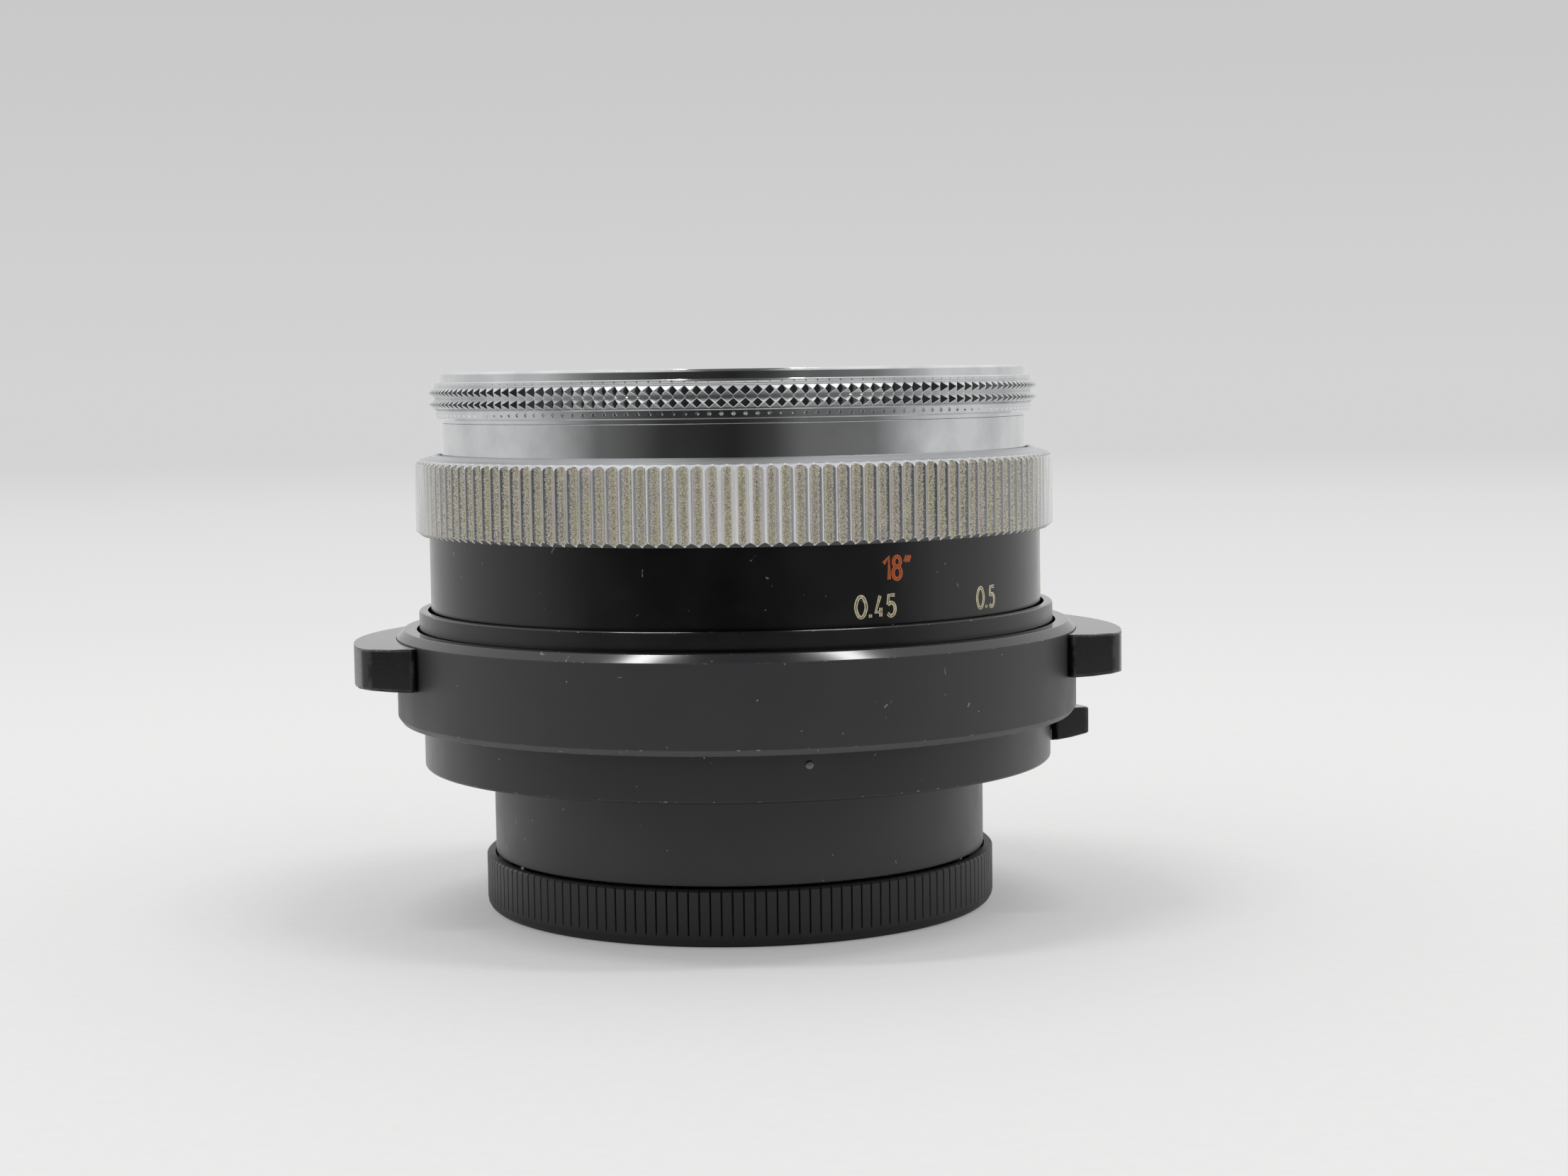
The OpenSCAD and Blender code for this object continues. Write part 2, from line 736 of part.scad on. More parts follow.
module guide_groove(side)
    rotate([0, 0, guide_angle + side])
        translate([skirt_r - skirt_wall - bite, -guide_r - guide_gap, skirt_z - bite])
            cube([skirt_wall + 2 * bite, 2 * guide_r + 2 * guide_gap,
                guide_z + guide_r + focus_in + face_gap - skirt_z + bite]);

// Carrier for the glass cells and the iris: a tube with a floor, a boss below it and a slotted skirt
module lens_block() {
    color("#2a2a2c") difference() {
        union() {
            tube(cavity_r, block_r, block_ring_z + block_ring_t, block_top);
            tube(cavity_r, block_ring_seat_r, block_floor_z, block_ring_z + block_ring_t + eps);
            tube(cavity_r - eps, helicoid_r - 0.1, block_flange_z, block_top);
            tube(rear_cell_r + run_gap / 2, cavity_r + eps, block_floor_z, block_floor_top);
            tube(rear_cell_r + run_gap / 2, boss_r, block_floor_z - boss_h, block_floor_z + eps);
            tube(skirt_r - skirt_wall, skirt_r, skirt_z, block_floor_z + eps);
            tube(skirt_r - eps, block_ring_seat_r, block_ring_z, block_floor_z + eps);
        }
        sector(skirt_r - skirt_wall - 0.5, skirt_r + 0.2, skirt_z - bite, web_top + focus_in + 0.3,
            window_angle, window_span);
        sector(rod_at - rod_r - 0.1, rod_at + rod_r + 0.1, block_floor_z - bite, block_floor_top + bite,
            window_angle, ring_travel + 2 * asin((rod_r + 0.2) / rod_at));
        for (side = [0, 180]) guide_groove(side);
        front_screw_set(seat_gap);
    }
}

block_ring_r = helicoid_r - 0.7;

module block_ring()
    color("#8f9092")
        tube(block_ring_seat_r + seat_gap, block_ring_r, block_ring_z, block_ring_z + block_ring_t);

module rear_cell() {
    clear_r = glass_r - 0.9;
    color("#1d1d1e") turned([
        [glass_r + seat_gap, rear_cell_z], [rear_cell_r, rear_cell_z], [rear_cell_r, rear_cell_top],
        [clear_r, rear_cell_top], [clear_r, rear_z], [glass_r + seat_gap, rear_z]]);
}

module rear_element_front()
    color("#b9c8d0") difference() {
        disc(glass_r, cement_vertex - sag(cement_curve, glass_r), rear_z);
        translate([0, 0, cement_vertex - cement_curve]) glass_ball(cement_curve);
    }

module rear_element_back()
    color("#a9bcc8") intersection() {
        disc(glass_r, rear_vertex, cement_vertex);
        translate([0, 0, cement_vertex - cement_curve - cement_gap]) glass_ball(cement_curve);
        translate([0, 0, rear_vertex + rear_curve]) glass_ball(rear_curve);
    }

module rear_retainer() {
    seat_r = glass_r - 0.8;
    seat_z = rear_vertex + sag(rear_curve, seat_r) - seat_gap;
    color("#2b2b2c") turned([
        [seat_r - 0.5, rear_cell_z + 0.1], [glass_r, rear_cell_z + 0.1],
        [glass_r, rear_edge_z - 0.2], [glass_r - 0.4, rear_edge_z - 0.2], [seat_r, seat_z - 0.1],
        [seat_r - 0.5, seat_z - 0.3]]);
}

// Pin of a blade that has closed by this turn, seen with its pivot on +X
function drive_pin(turn) =
    [pivot_r + drive_offset * sin(turn), -drive_offset * cos(turn)];

// The same pin's place on the cam, which has come this far from the open stop
function cam_path(come) =
    let (p = drive_pin(blade_ratio * come), a = open_turn - come)
        [p.x * cos(a) - p.y * sin(a), p.x * sin(a) + p.y * cos(a)];

module cam_slot() {
    half = blade_pin_r + 0.05;
    over = 2.2;
    steps = 24;
    path = [for (i = [0:steps]) cam_path(-over + (ring_travel + 2 * over) * i / steps)];
    side = [for (i = [0:steps])
        let (d = path[min(i + 1, steps)] - path[max(i - 1, 0)])
            half * [-d.y, d.x] / norm(d)];
    translate([0, 0, cam_z - bite])
        linear_extrude(cam_t + 2 * bite)
            polygon(concat(
                [for (i = [0:steps]) path[i] + side[i]],
                [for (i = [steps:-1:0]) path[i] - side[i]]));
}

module rod_place() rotate([0, 0, arm_angle]) translate([rod_at, 0, 0]) children();

module iris_cam() {
    color("#8a7443") difference() {
        tube(open_r + 0.2, cavity_r - clear_gap, cam_z, cam_z + cam_t);
        around(blades) cam_slot();
        rod_place() disc(rod_r + seat_gap, cam_z - bite, cam_z + cam_t + bite);
    }
}

module drive_rod() color("#c9c8c4") rod_place() disc(rod_r, rod_z, cam_z + cam_t);

module wedge(first, last, r)
    polygon([[0, 0],
        for (a = [first, (first + last) / 2, last]) r / cos((last - first) / 4) * [cos(a), sin(a)]]);

// One blade, swung to where the iris stands; each blade lies on a level of its own
module iris_blade(i) {
    z = blade_z + (i - 1) * blade_pitch;
    pivot_top = cover_top - 0.2;
    pin_foot = cam_z + 0.1;
    color("#3c3c3f")
        rotate([0, 0, 360 * (i - 1) / blades])
            translate([pivot_r, 0, 0]) rotate([0, 0, turn_now]) translate([-pivot_r, 0, 0]) {
                translate([0, 0, z]) linear_extrude(blade_t) {
                    intersection() {
                        difference() {
                            circle(r = blade_out_r);
                            circle(r = open_r);
                        }
                        wedge(-blade_heel_angle, blade_span_angle, 2 * blade_out_r);
                    }
                    translate([pivot_r, 0]) circle(r = pivot_eye_r);
                    translate([pivot_r, -drive_offset]) circle(r = drive_eye_r);
                    translate([blade_out_r - drive_eye_r, -drive_offset])
                        square([pivot_r + drive_eye_r - eye_trim - blade_out_r + drive_eye_r, drive_offset]);
                }
                translate([pivot_r, 0, 0]) disc(blade_pin_r, z, pivot_top);
                translate([pivot_r, -drive_offset, 0]) disc(blade_pin_r, pin_foot, z + blade_t);
            }
}

module iris_cover() {
    color("#27272a") difference() {
        tube(open_r + 0.1, cavity_r - seat_gap, cover_z, cover_top);
        around(blades) translate([pivot_r, 0, 0]) disc(blade_pin_r + 0.05, cover_z - bite, cover_top + bite);
    }
}

module front_cell() {
    clear_r = open_r + 0.1;
    flange_top = cover_top + cell_flange_t;
    color("#1d1d1e") turned([
        [clear_r, cover_top], [cavity_r - seat_gap, cover_top], [cavity_r - seat_gap, flange_top],
        [front_cell_r, flange_top], [front_cell_r, front_cell_top - 0.4], [front_cell_r - 0.4, front_cell_top],
        [front_glass_r + seat_gap, front_cell_top], [front_glass_r + seat_gap, front_z],
        [middle_glass_r + seat_gap, front_z], [middle_glass_r + seat_gap, middle_z], [clear_r, middle_z]]);
}

module middle_element() {
    rear_curve_r = (middle_glass_r * middle_glass_r + middle_dip * middle_dip) / (2 * middle_dip);
    front_bottom = middle_z + middle_t - sag(middle_curve, middle_glass_r - spacer_wall);
    color("#b4c3cc") difference() {
        disc(middle_glass_r, middle_z, middle_z + middle_t);
        translate([0, 0, front_bottom + middle_curve]) glass_ball(middle_curve);
        translate([0, 0, middle_z + middle_dip - rear_curve_r - middle_edge]) glass_ball(rear_curve_r);
    }
}

module lens_spacer()
    color("#2b2b2c") tube(middle_glass_r - spacer_wall, middle_glass_r, middle_z + middle_t, front_z);

module front_element()
    color("#c4d2da") intersection() {
        disc(front_glass_r, front_z, front_vertex);
        translate([0, 0, front_vertex - front_curve]) glass_ball(front_curve);
    }

module front_retainer() {
    seat_r = front_glass_r - 0.9;
    seat_z = front_vertex - sag(front_curve, seat_r) + seat_gap;
    color("#2b2b2c") turned([
        [front_glass_r, front_z + glass_edge + 0.15], [front_glass_r, front_cell_top - 0.1],
        [seat_r + 0.3, front_cell_top - 0.1], [seat_r - 0.3, seat_z + 0.7], [seat_r - 0.3, seat_z + 0.25],
        [seat_r, seat_z + 0.05]]);
}

module cell_ring() {
    z0 = cover_top + cell_flange_t;
    color("#8f9092") tube(front_cell_r + face_gap, cavity_r - seat_gap, z0, z0 + cell_ring_t);
}

module front_barrel() {
    color("#c6c6c8") difference() {
        turned([
            [cavity_r, block_top], [band_r, block_top], [band_r, band_top],
            [filter_r + run_gap / 2, band_top], [filter_r + run_gap / 2, front_web_top],
            [cavity_r, front_web_top]]);
        front_screw_set(seat_gap);
    }
}

module front_screws() color("#b9babc") front_screw_set(0);

baffle_drop = 2.95;

// Plain sloping face, and below it a stepped funnel that keeps stray light off the front glass
module front_baffle() {
    steps = 7;
    wall = 0.8;
    rim_r = filter_r - run_gap;
    rim_w = 1.2;
    rim_z = band_top - baffle_drop;
    shelf_r = cavity_r - wall - face_gap;
    shelf_z = front_web_top + wall;
    foot_r = front_cell_r + face_gap;
    foot_z = front_cell_top - wall - face_gap;
    dr = (shelf_r - foot_r) / steps;
    dz = (shelf_z - foot_z - wall) / steps;
    color("#1f1f20") turned(concat(
        [[foot_r, foot_z], [foot_r, foot_z + wall]],
        [for (i = [0:steps - 1], k = [0, 1]) [foot_r + dr * (i + 1), foot_z + wall + dz * (i + k)]],
        [[rim_r - rim_w, rim_z], [rim_r, rim_z], [rim_r, front_web_top], [cavity_r - run_gap, front_web_top],
         [cavity_r - run_gap, front_web_top - wall]]));
}

filter_spigot = 2.35;
filter_floor = 1.4;
knurl_depth = 0.55;
knurl_step = 0.2;
lip_bevel = 0.2;
lip_r = band_r + band_gap / 3;

module filter_ring() {
    spigot_z = band_top - filter_spigot;
    bore_z = band_top + filter_floor;
    row_h = knurl_h / knurl_rows;
    root_r = knurl_r - knurl_depth;
    color("#c9c9cb") turned(concat(
        [[ledge_r, spigot_z], [filter_r, spigot_z], [filter_r, band_top], [root_r, band_top]],
        [for (i = [0:knurl_rows - 1], k = [0.5, 1])
            [k == 1 ? root_r : knurl_r - (i == 0 ? knurl_step : 0), band_top + row_h * (i + k)]],
        [[lip_r, knurl_top], [lip_r, total_h - lip_bevel], [lip_r - lip_bevel, total_h],
         [filter_r + lip_bevel, total_h], [filter_r, total_h - lip_bevel], [filter_r, bore_z],
         [ledge_r, bore_z]]));
}

rear_cap();
rear_tube();
lens_mount();
mount_screws();
rear_housing();
locating_pin();
barrel_screws();
fixed_barrel();
guide_pins();
scale_collar();
collar_screws();
detent_ball();
detent_spring();
lever_ring();
lever_fin();
lever_rivet();
aperture_ring();
lug_left();
lug_right();
lug_screws();
aperture_arm();
arm_screws();
helicoid_ring();
distance_scale();
focus_grip();
focus_screws();
lens_block();
block_ring();
rear_cell();
rear_element_front();
rear_element_back();
rear_retainer();
iris_cam();
drive_rod();
iris_cover();
front_cell();
middle_element();
lens_spacer();
front_element();
front_retainer();
cell_ring();
front_barrel();
front_screws();
front_baffle();
filter_ring();
for (i = [1:blades])
    iris_blade(i);
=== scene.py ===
import math

import bmesh
import bpy
from mathutils import Matrix, Vector


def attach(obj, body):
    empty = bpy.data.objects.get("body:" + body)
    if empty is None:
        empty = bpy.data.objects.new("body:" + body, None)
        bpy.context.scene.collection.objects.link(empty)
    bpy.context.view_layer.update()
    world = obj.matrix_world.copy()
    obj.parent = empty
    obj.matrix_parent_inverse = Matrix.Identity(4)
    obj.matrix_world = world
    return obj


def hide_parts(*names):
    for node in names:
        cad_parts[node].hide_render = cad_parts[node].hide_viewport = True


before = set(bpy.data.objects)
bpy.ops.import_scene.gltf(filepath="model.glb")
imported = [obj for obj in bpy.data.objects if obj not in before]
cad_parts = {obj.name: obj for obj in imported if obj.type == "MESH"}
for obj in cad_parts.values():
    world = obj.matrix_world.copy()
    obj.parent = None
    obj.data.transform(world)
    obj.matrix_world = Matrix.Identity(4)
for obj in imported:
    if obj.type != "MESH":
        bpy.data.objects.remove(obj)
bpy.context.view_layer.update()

# Rear tube: an aluminium tube turned on a lathe and black anodised, the rear end of the lens.
# Its shoulder meets the cap, and the screw spigot below the shoulder goes into the camera.
MM = 0.001
TURN = 2 * math.pi
ROUND_STEPS = 256
TUBE_R, TUBE_LOW, TUBE_TOP = 22.7, 5.2, 13.28
SPIGOT_R, SPIGOT_LOW, SPIGOT_BORE = 21.0, 1.6, 19.9
SPIGOT_PITCH, SPIGOT_DEPTH, SPIGOT_RELIEF, BITE = 1.0, 0.5, 0.4, 0.02
MOUNT_SOCKET_R, MOUNT_SOCKET_LOW = 21.1, 8.98


def linear(colour):
    """An sRGB hex colour as the linear colour that shaders take."""
    shares = [int(colour[i:i + 2], 16) / 255 for i in (1, 3, 5)]
    return [c / 12.92 if c <= 0.04045 else ((c + 0.055) / 1.055) ** 2.4 for c in shares] + [1]


def wire(node, inputs):
    """Sets each named input of a node to a value or a hex colour, or links it to the output that is
    given. A node that is given stands for its first output."""
    for name, value in inputs.items():
        if isinstance(value, str):
            value = linear(value)
        if isinstance(value, bpy.types.Node):
            value = value.outputs[0]
        if isinstance(value, bpy.types.NodeSocket):
            node.id_data.links.new(value, node.inputs[name])
        else:
            node.inputs[name].default_value = value
    return node


def add(tree, kind, inputs, **settings):
    """A new shader node with its settings, its inputs wired."""
    node = tree.nodes.new("ShaderNode" + kind)
    for name, value in settings.items():
        setattr(node, name, value)
    return wire(node, inputs)


def new_finish(name, sockets):
    """A new material: its tree, its shader with the constant sockets set, and Object coordinates."""
    material = bpy.data.materials.new(name)
    material.use_nodes = True
    shader = wire(material.node_tree.nodes["Principled BSDF"], sockets)
    place = add(material.node_tree, "TexCoord", {}).outputs["Object"]
    return material, material.node_tree, shader, place


def bevelled(bm, geom, width, affect, segments=3):
    """Bevels edges or vertices by a width in millimetres, and gives back what that made."""
    return bmesh.ops.bevel(
        bm, geom=geom, offset=width * MM, offset_type="OFFSET", segments=segments, profile=0.5,
        affect=affect, clamp_overlap=True, material=-1)


def verts_of(geom):
    """The vertices among what an operator gives back."""
    return [part for part in geom if isinstance(part, bmesh.types.BMVert)]


def turned(profile, corner=0.07, steps=ROUND_STEPS):
    """A ring spun from (radius, height) points in millimetres, its corners rounded first.
    A point may carry its own corner radius. The attribute wear is 1 along the corners."""
    bm = bmesh.new()
    wear = bm.verts.layers.float.new("wear")
    points = [bm.verts.new((point[0] * MM, 0, point[1] * MM)) for point in profile]
    for a, b in zip(points, points[1:] + points[:1]):
        bm.edges.new((a, b))
    for point, vert in zip(profile, points):
        radius = point[2] if len(point) > 2 else corner
        if radius:
            made = bevelled(bm, [vert], radius, "VERTICES")["verts"]
            for v in made:
                v[wear] = all(e.other_vert(v) in made for e in v.link_edges)
    bmesh.ops.spin(
        bm, geom=bm.verts[:] + bm.edges[:], cent=(0, 0, 0), axis=(0, 0, 1), angle=TURN,
        steps=steps, use_merge=True)
    return bm


def wind_thread(bm, root, crest, low, high, pitch):
    """Winds a V-shaped thread round the axis, from its root radius to its crest radius."""
    foot, steps = 0.46 * pitch, 96
    turns = (high - low) / pitch - 1
    start = low + pitch / 2
    section = [bm.verts.new((r * MM, 0, z * MM))
               for r, z in ((root, start - foot), (crest, start), (root, start + foot))]
    first = bm.faces.new(section)
    last = bmesh.ops.spin(
        bm, geom=section + first.edges[:], cent=(0, 0, 0), axis=(0, 0, 1), angle=TURN * turns,
        steps=round(steps * turns), dvec=(0, 0, pitch * MM / steps))["geom_last"]
    bm.faces.new(verts_of(last))


def piece(name, bm, material, body, slot, *nodes, crease=35):
    """Makes a mesh a finished object at the origin, that rides on a body and stands for CAD nodes."""
    weld = 0.0005 * MM
    bmesh.ops.remove_doubles(bm, verts=bm.verts, dist=weld)
    bmesh.ops.recalc_face_normals(bm, faces=bm.faces)
    for edge in bm.edges:
        edge.smooth = len(edge.link_faces) == 2 and edge.calc_face_angle() < math.radians(crease)
    for face in bm.faces:
        face.smooth = True
    mesh = bpy.data.meshes.new(name)
    bm.to_mesh(mesh)
    bm.free()
    if "custom_normal" in mesh.attributes:
        mesh.attributes.remove(mesh.attributes["custom_normal"])
    mesh.materials.append(material)
    made = bpy.data.objects.new(name, mesh)
    bpy.context.scene.collection.objects.link(made)
    even = made.modifiers.new("even shading", "WEIGHTED_NORMAL")
    even.keep_sharp = True
    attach(made, body)
    if nodes:
        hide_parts(*nodes)
    return made


def black_anodised(name, tone, roughness, lint=1.0, painted_floor_reflection=None):
    """Turned aluminium with a black anodic layer: an even soft black with a sheen that clouds a little,
    smoother cuts where it slopes up, clinging dust and lint, and a few corners worn to bare metal. Its
    turning lines are drawn coarser than they are, so that they show. Where a chamfer faces down, a given
    paler colour is painted in as a painted reflection of the pale floor."""
    line_mm, sweep_mm, cloud_mm, dust_mm, nick_mm = 0.16, 25.0, 5.0, 2.4, 0.5
    lint_mm, curl_mm, bend_mm, snip_mm = 6.0, 1.6, 1.2, 1.2
    bare_metal, lint_grey, cut_roughness = "#9a9b9d", "#b9b6ae", 0.12
    material, tree, shader, place = new_finish(name, {"IOR": 1.5})
    around, along = 1 / (sweep_mm * MM), 1 / (line_mm * MM)
    lines = add(tree, "TexNoise", {
        "Vector": add(tree, "Mapping", {"Vector": place, "Scale": (around, around, along)}),
        "Scale": 1, "Detail": 3})
    cloud = add(tree, "TexNoise", {"Vector": place, "Scale": 1 / (cloud_mm * MM), "Detail": 5})
    dust = add(tree, "MapRange", {
        "Value": add(tree, "TexVoronoi", {
            "Vector": place, "Scale": 1 / (dust_mm * MM)}).outputs["Distance"],
        "From Min": 0.022, "From Max": 0.04, "To Min": 0.5 * lint, "To Max": 0})
    bent = add(tree, "VectorMath", {
        0: add(tree, "TexNoise", {"Vector": place, "Scale": 1 / (curl_mm * MM)}).outputs["Color"],
        1: [bend_mm * MM] * 3, 2: place}, operation="MULTIPLY_ADD")
    seam = add(tree, "TexVoronoi", {"Vector": bent, "Scale": 1 / (lint_mm * MM)},
               feature="DISTANCE_TO_EDGE").outputs["Distance"]
    strand = add(tree, "MapRange", {
        "Value": seam, "From Min": 0.004, "From Max": 0.009, "To Min": 1, "To Max": 0})
    snippet = add(tree, "MapRange", {
        "Value": add(tree, "TexNoise", {"Vector": bent, "Scale": 1 / (snip_mm * MM)}),
        "From Min": 0.66, "From Max": 0.7, "To Max": 0.45 * lint})
    hair = add(tree, "Math", {0: strand, 1: snippet}, operation="MULTIPLY")
    fluff = add(tree, "Math", {0: dust, 1: hair}, operation="MAXIMUM")
    nick = add(tree, "MapRange", {
        "Value": add(tree, "TexNoise", {"Vector": place, "Scale": 1 / (nick_mm * MM), "Detail": 3}),
        "From Min": 0.62, "From Max": 0.7})
    worn = add(tree, "Math", {
        0: add(tree, "Attribute", {}, attribute_name="wear").outputs["Fac"], 1: nick},
        operation="MULTIPLY")
    pale = [min(1, c * 1.35) for c in linear(tone)]
    colour = add(tree, "Mix", {0: cloud, 6: tone, 7: pale}, data_type="RGBA").outputs[2]
    upward = add(tree, "SeparateXYZ", {
        0: add(tree, "NewGeometry", {}).outputs["True Normal"]}).outputs["Z"]
    # Painted reflection: a chamfer that faces down is painted in a paler colour, for the pale floor it
    # would mirror.
    if painted_floor_reflection:
        chamfer = add(tree, "Math", {0: upward, 1: -0.6, 2: 0.25}, operation="COMPARE")
        colour = add(tree, "Mix", {0: chamfer, 6: colour, 7: painted_floor_reflection}, data_type="RGBA").outputs[2]
    for cover, shade in ((worn, bare_metal), (fluff, lint_grey)):
        colour = add(tree, "Mix", {0: cover, 6: colour, 7: shade}, data_type="RGBA").outputs[2]
    rough = add(tree, "MapRange", {
        "Value": cloud, "From Min": 0.3, "From Max": 0.7,
        "To Min": roughness - 0.05, "To Max": roughness + 0.05})
    rough = add(tree, "Mix", {
        0: add(tree, "Math", {0: upward, 1: 0.4}, operation="GREATER_THAN"),
        2: rough, 3: min(roughness, cut_roughness)})
    relief = add(tree, "Bump", {"Height": lines, "Strength": 0.05, "Distance": 0.005 * MM})
    wire(shader, {"Base Color": colour, "Metallic": worn, "Roughness": rough, "Normal": relief})
    return material


tube_black = black_anodised("black anodised aluminium, tube", "#282829", 0.37)
thread_root = SPIGOT_R - SPIGOT_DEPTH
tube = turned([
    (SPIGOT_BORE, SPIGOT_LOW), (thread_root, SPIGOT_LOW), (thread_root, TUBE_LOW, 0),
    (TUBE_R, TUBE_LOW), (TUBE_R, TUBE_TOP, 0), (MOUNT_SOCKET_R, TUBE_TOP, 0),
    (MOUNT_SOCKET_R, MOUNT_SOCKET_LOW, 0), (SPIGOT_BORE, MOUNT_SOCKET_LOW)])
piece("anodised_tube", tube, tube_black, "barrel", "black_anodised", "rear_tube")
spigot_thread = bmesh.new()
wind_thread(spigot_thread, thread_root - BITE, SPIGOT_R - BITE, SPIGOT_LOW, TUBE_LOW - SPIGOT_RELIEF,
            SPIGOT_PITCH)
piece("spigot_thread", spigot_thread, tube_black, "barrel", "black_anodised")

# Fixed inner pieces: the aluminium mount that the tube screws onto, the black barrel that guides the
# helicoid, and the screws and pins that hold them. They keep their CAD shapes.


def dress(material, *nodes):
    """Gives CAD nodes, whose shape is right as it is, a finish of their own."""
    for node in nodes:
        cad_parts[node].material_slots[0].material = material


def turned_metal(name, colour, roughness, line_mm, stain):
    """Bare metal from the lathe: its own colour, a clear grain of turning lines that also breaks up the
    gloss, and a thin uneven film of oxide and oil."""
    sweep_mm, film_mm = 20.0, 3.5
    material, tree, shader, place = new_finish(name, {"Metallic": 1.0})
    around, along = 1 / (sweep_mm * MM), 1 / (line_mm * MM)
    lines = add(tree, "TexNoise", {
        "Vector": add(tree, "Mapping", {"Vector": place, "Scale": (around, around, along)}),
        "Scale": 1, "Detail": 3})
    film = add(tree, "TexNoise", {"Vector": place, "Scale": 1 / (film_mm * MM), "Detail": 6})
    patch = add(tree, "MapRange", {"Value": film, "From Min": 0.4, "From Max": 0.75, "To Max": 0.6})
    wire(shader, {
        "Base Color": add(tree, "Mix", {0: patch, 6: colour, 7: stain},
                          data_type="RGBA").outputs[2],
        "Roughness": add(tree, "MapRange", {
            "Value": lines, "From Min": 0.3, "From Max": 0.7,
            "To Min": roughness - 0.06, "To Max": roughness + 0.08}),
        "Normal": add(tree, "Bump", {"Height": lines, "Strength": 0.2, "Distance": 0.01 * MM})})
    return material


bare_aluminium = turned_metal("bare aluminium, turned", "#c3c4c6", 0.3, 0.12, "#a2a19c")
tool_steel = turned_metal("bright steel, ground", "#b9b8b5", 0.24, 0.06, "#8d8a84")
inner_black = black_anodised("black anodised aluminium, inner", "#1c1c1d", 0.55, lint=0)
dress(bare_aluminium, "lens_mount")
dress(inner_black, "fixed_barrel")
dress(tool_steel, "mount_screws", "guide_pins", "collar_screws", "detent_ball", "detent_spring")

# Lower ring: a shallow black anodised cup screwed up into the barrel, with the slot that the lever
# runs in. Three slotted screws go in from below, and a small steel pin shows in its front.
LOWER_R, LOWER_IN, LOWER_BORE, LOWER_CHAMFER = 29.0, 27.55, 21.02, 0.2
LOWER_Z, LOWER_TOP, LOWER_FLOOR = 13.28, 17.4, 14.5
SLOT_LOW, SLOT_TOP, SLOT_FROM, SLOT_TO = 14.95, 16.45, 1.5, 26.5
PIN_ANGLE, PIN_Z, PIN_R, PIN_IN, PIN_EASE, PIN_PROUD = -78.4, 16.4, 0.4, 27.7, 0.16, 0.15
SCREW_AT, SCREW_R, SCREW_HEIGHT, SCREW_FIRST, SCREW_PROUD = 25.425, 0.9, 0.6, 30, 0.03
SCREW_SLOT, SCREW_SLOT_DEPTH, SCREWS = 0.22, 0.25, 3


def repeat_round(bm, count):
    """Sets copies of what a mesh holds all the way round the axis."""
    bmesh.ops.spin(
        bm, geom=bm.verts[:] + bm.edges[:] + bm.faces[:], cent=(0, 0, 0), axis=(0, 0, 1),
        angle=TURN * (count - 1) / count, steps=count - 1, use_duplicate=True)


lower_black = black_anodised("black anodised aluminium, lower ring", "#18191b", 0.32)
lower = turned([
    (LOWER_BORE, LOWER_Z), (LOWER_R - LOWER_CHAMFER, LOWER_Z), (LOWER_R, LOWER_Z + LOWER_CHAMFER),
    (LOWER_R, SLOT_LOW, 0), (LOWER_R, SLOT_TOP, 0), (LOWER_R, LOWER_TOP), (LOWER_IN, LOWER_TOP),
    (LOWER_IN, SLOT_TOP, 0), (LOWER_IN, SLOT_LOW, 0), (LOWER_IN, LOWER_FLOOR, 0),
    (LOWER_BORE, LOWER_FLOOR)])
opening = []
for face in lower.faces:
    x, y, z = face.calc_center_median()
    if SLOT_LOW < z / MM < SLOT_TOP and SLOT_FROM < math.degrees(math.atan2(y, x)) < SLOT_TO:
        opening.append(face)
bmesh.ops.delete(lower, geom=opening, context="FACES")
bmesh.ops.bridge_loops(lower, edges=[e for e in lower.edges if e.is_boundary])
piece("lower_ring", lower, lower_black, "barrel", "black_anodised", "rear_housing")

pin = bmesh.new()
bmesh.ops.create_cone(
    pin, cap_ends=True, segments=24, radius1=PIN_R * MM, radius2=PIN_R * MM,
    depth=(LOWER_R - PIN_IN) * MM)
bevelled(pin, [e for e in pin.edges if all(v.co.z > 0 for v in e.verts)], PIN_EASE, "EDGES")
bmesh.ops.transform(pin, verts=pin.verts, matrix=(
    Matrix.Rotation(math.radians(PIN_ANGLE), 4, "Z")
    @ Matrix.Translation((((LOWER_R + PIN_IN) / 2 + PIN_PROUD) * MM, 0, PIN_Z * MM))
    @ Matrix.Rotation(math.radians(90), 4, "Y")))
pin_steel = turned_metal("steel pin, dull", "#6e6e70", 0.36, 0.06, "#504f4d")
piece("pin_head", pin, pin_steel, "barrel", "steel", "locating_pin")

screws = bmesh.new()
bmesh.ops.create_circle(screws, cap_ends=True, segments=32, radius=SCREW_R * MM)
for side in (-1, 1):
    bmesh.ops.bisect_plane(
        screws, geom=screws.verts[:] + screws.edges[:] + screws.faces[:],
        plane_co=(0, side * SCREW_SLOT / 2 * MM, 0), plane_no=(0, 1, 0))
shank = bmesh.ops.extrude_face_region(screws, geom=screws.faces[:])["geom"]
bmesh.ops.translate(screws, vec=(0, 0, SCREW_HEIGHT * MM), verts=verts_of(shank))
cut = []
for face in screws.faces:
    middle = face.calc_center_median()
    if abs(middle.z) < 1e-9 and abs(middle.y) < SCREW_SLOT / 3 * MM:
        cut.append(face)
slot_floor = bmesh.ops.extrude_face_region(screws, geom=cut)["geom"]
bmesh.ops.delete(screws, geom=cut, context="FACES")
bmesh.ops.translate(screws, vec=(0, 0, SCREW_SLOT_DEPTH * MM), verts=verts_of(slot_floor))
bmesh.ops.translate(screws, vec=(SCREW_AT * MM, 0, (LOWER_Z - SCREW_PROUD) * MM), verts=screws.verts)
bmesh.ops.rotate(screws, cent=(0, 0, 0), verts=screws.verts,
                 matrix=Matrix.Rotation(math.radians(SCREW_FIRST), 3, "Z"))
repeat_round(screws, SCREWS)
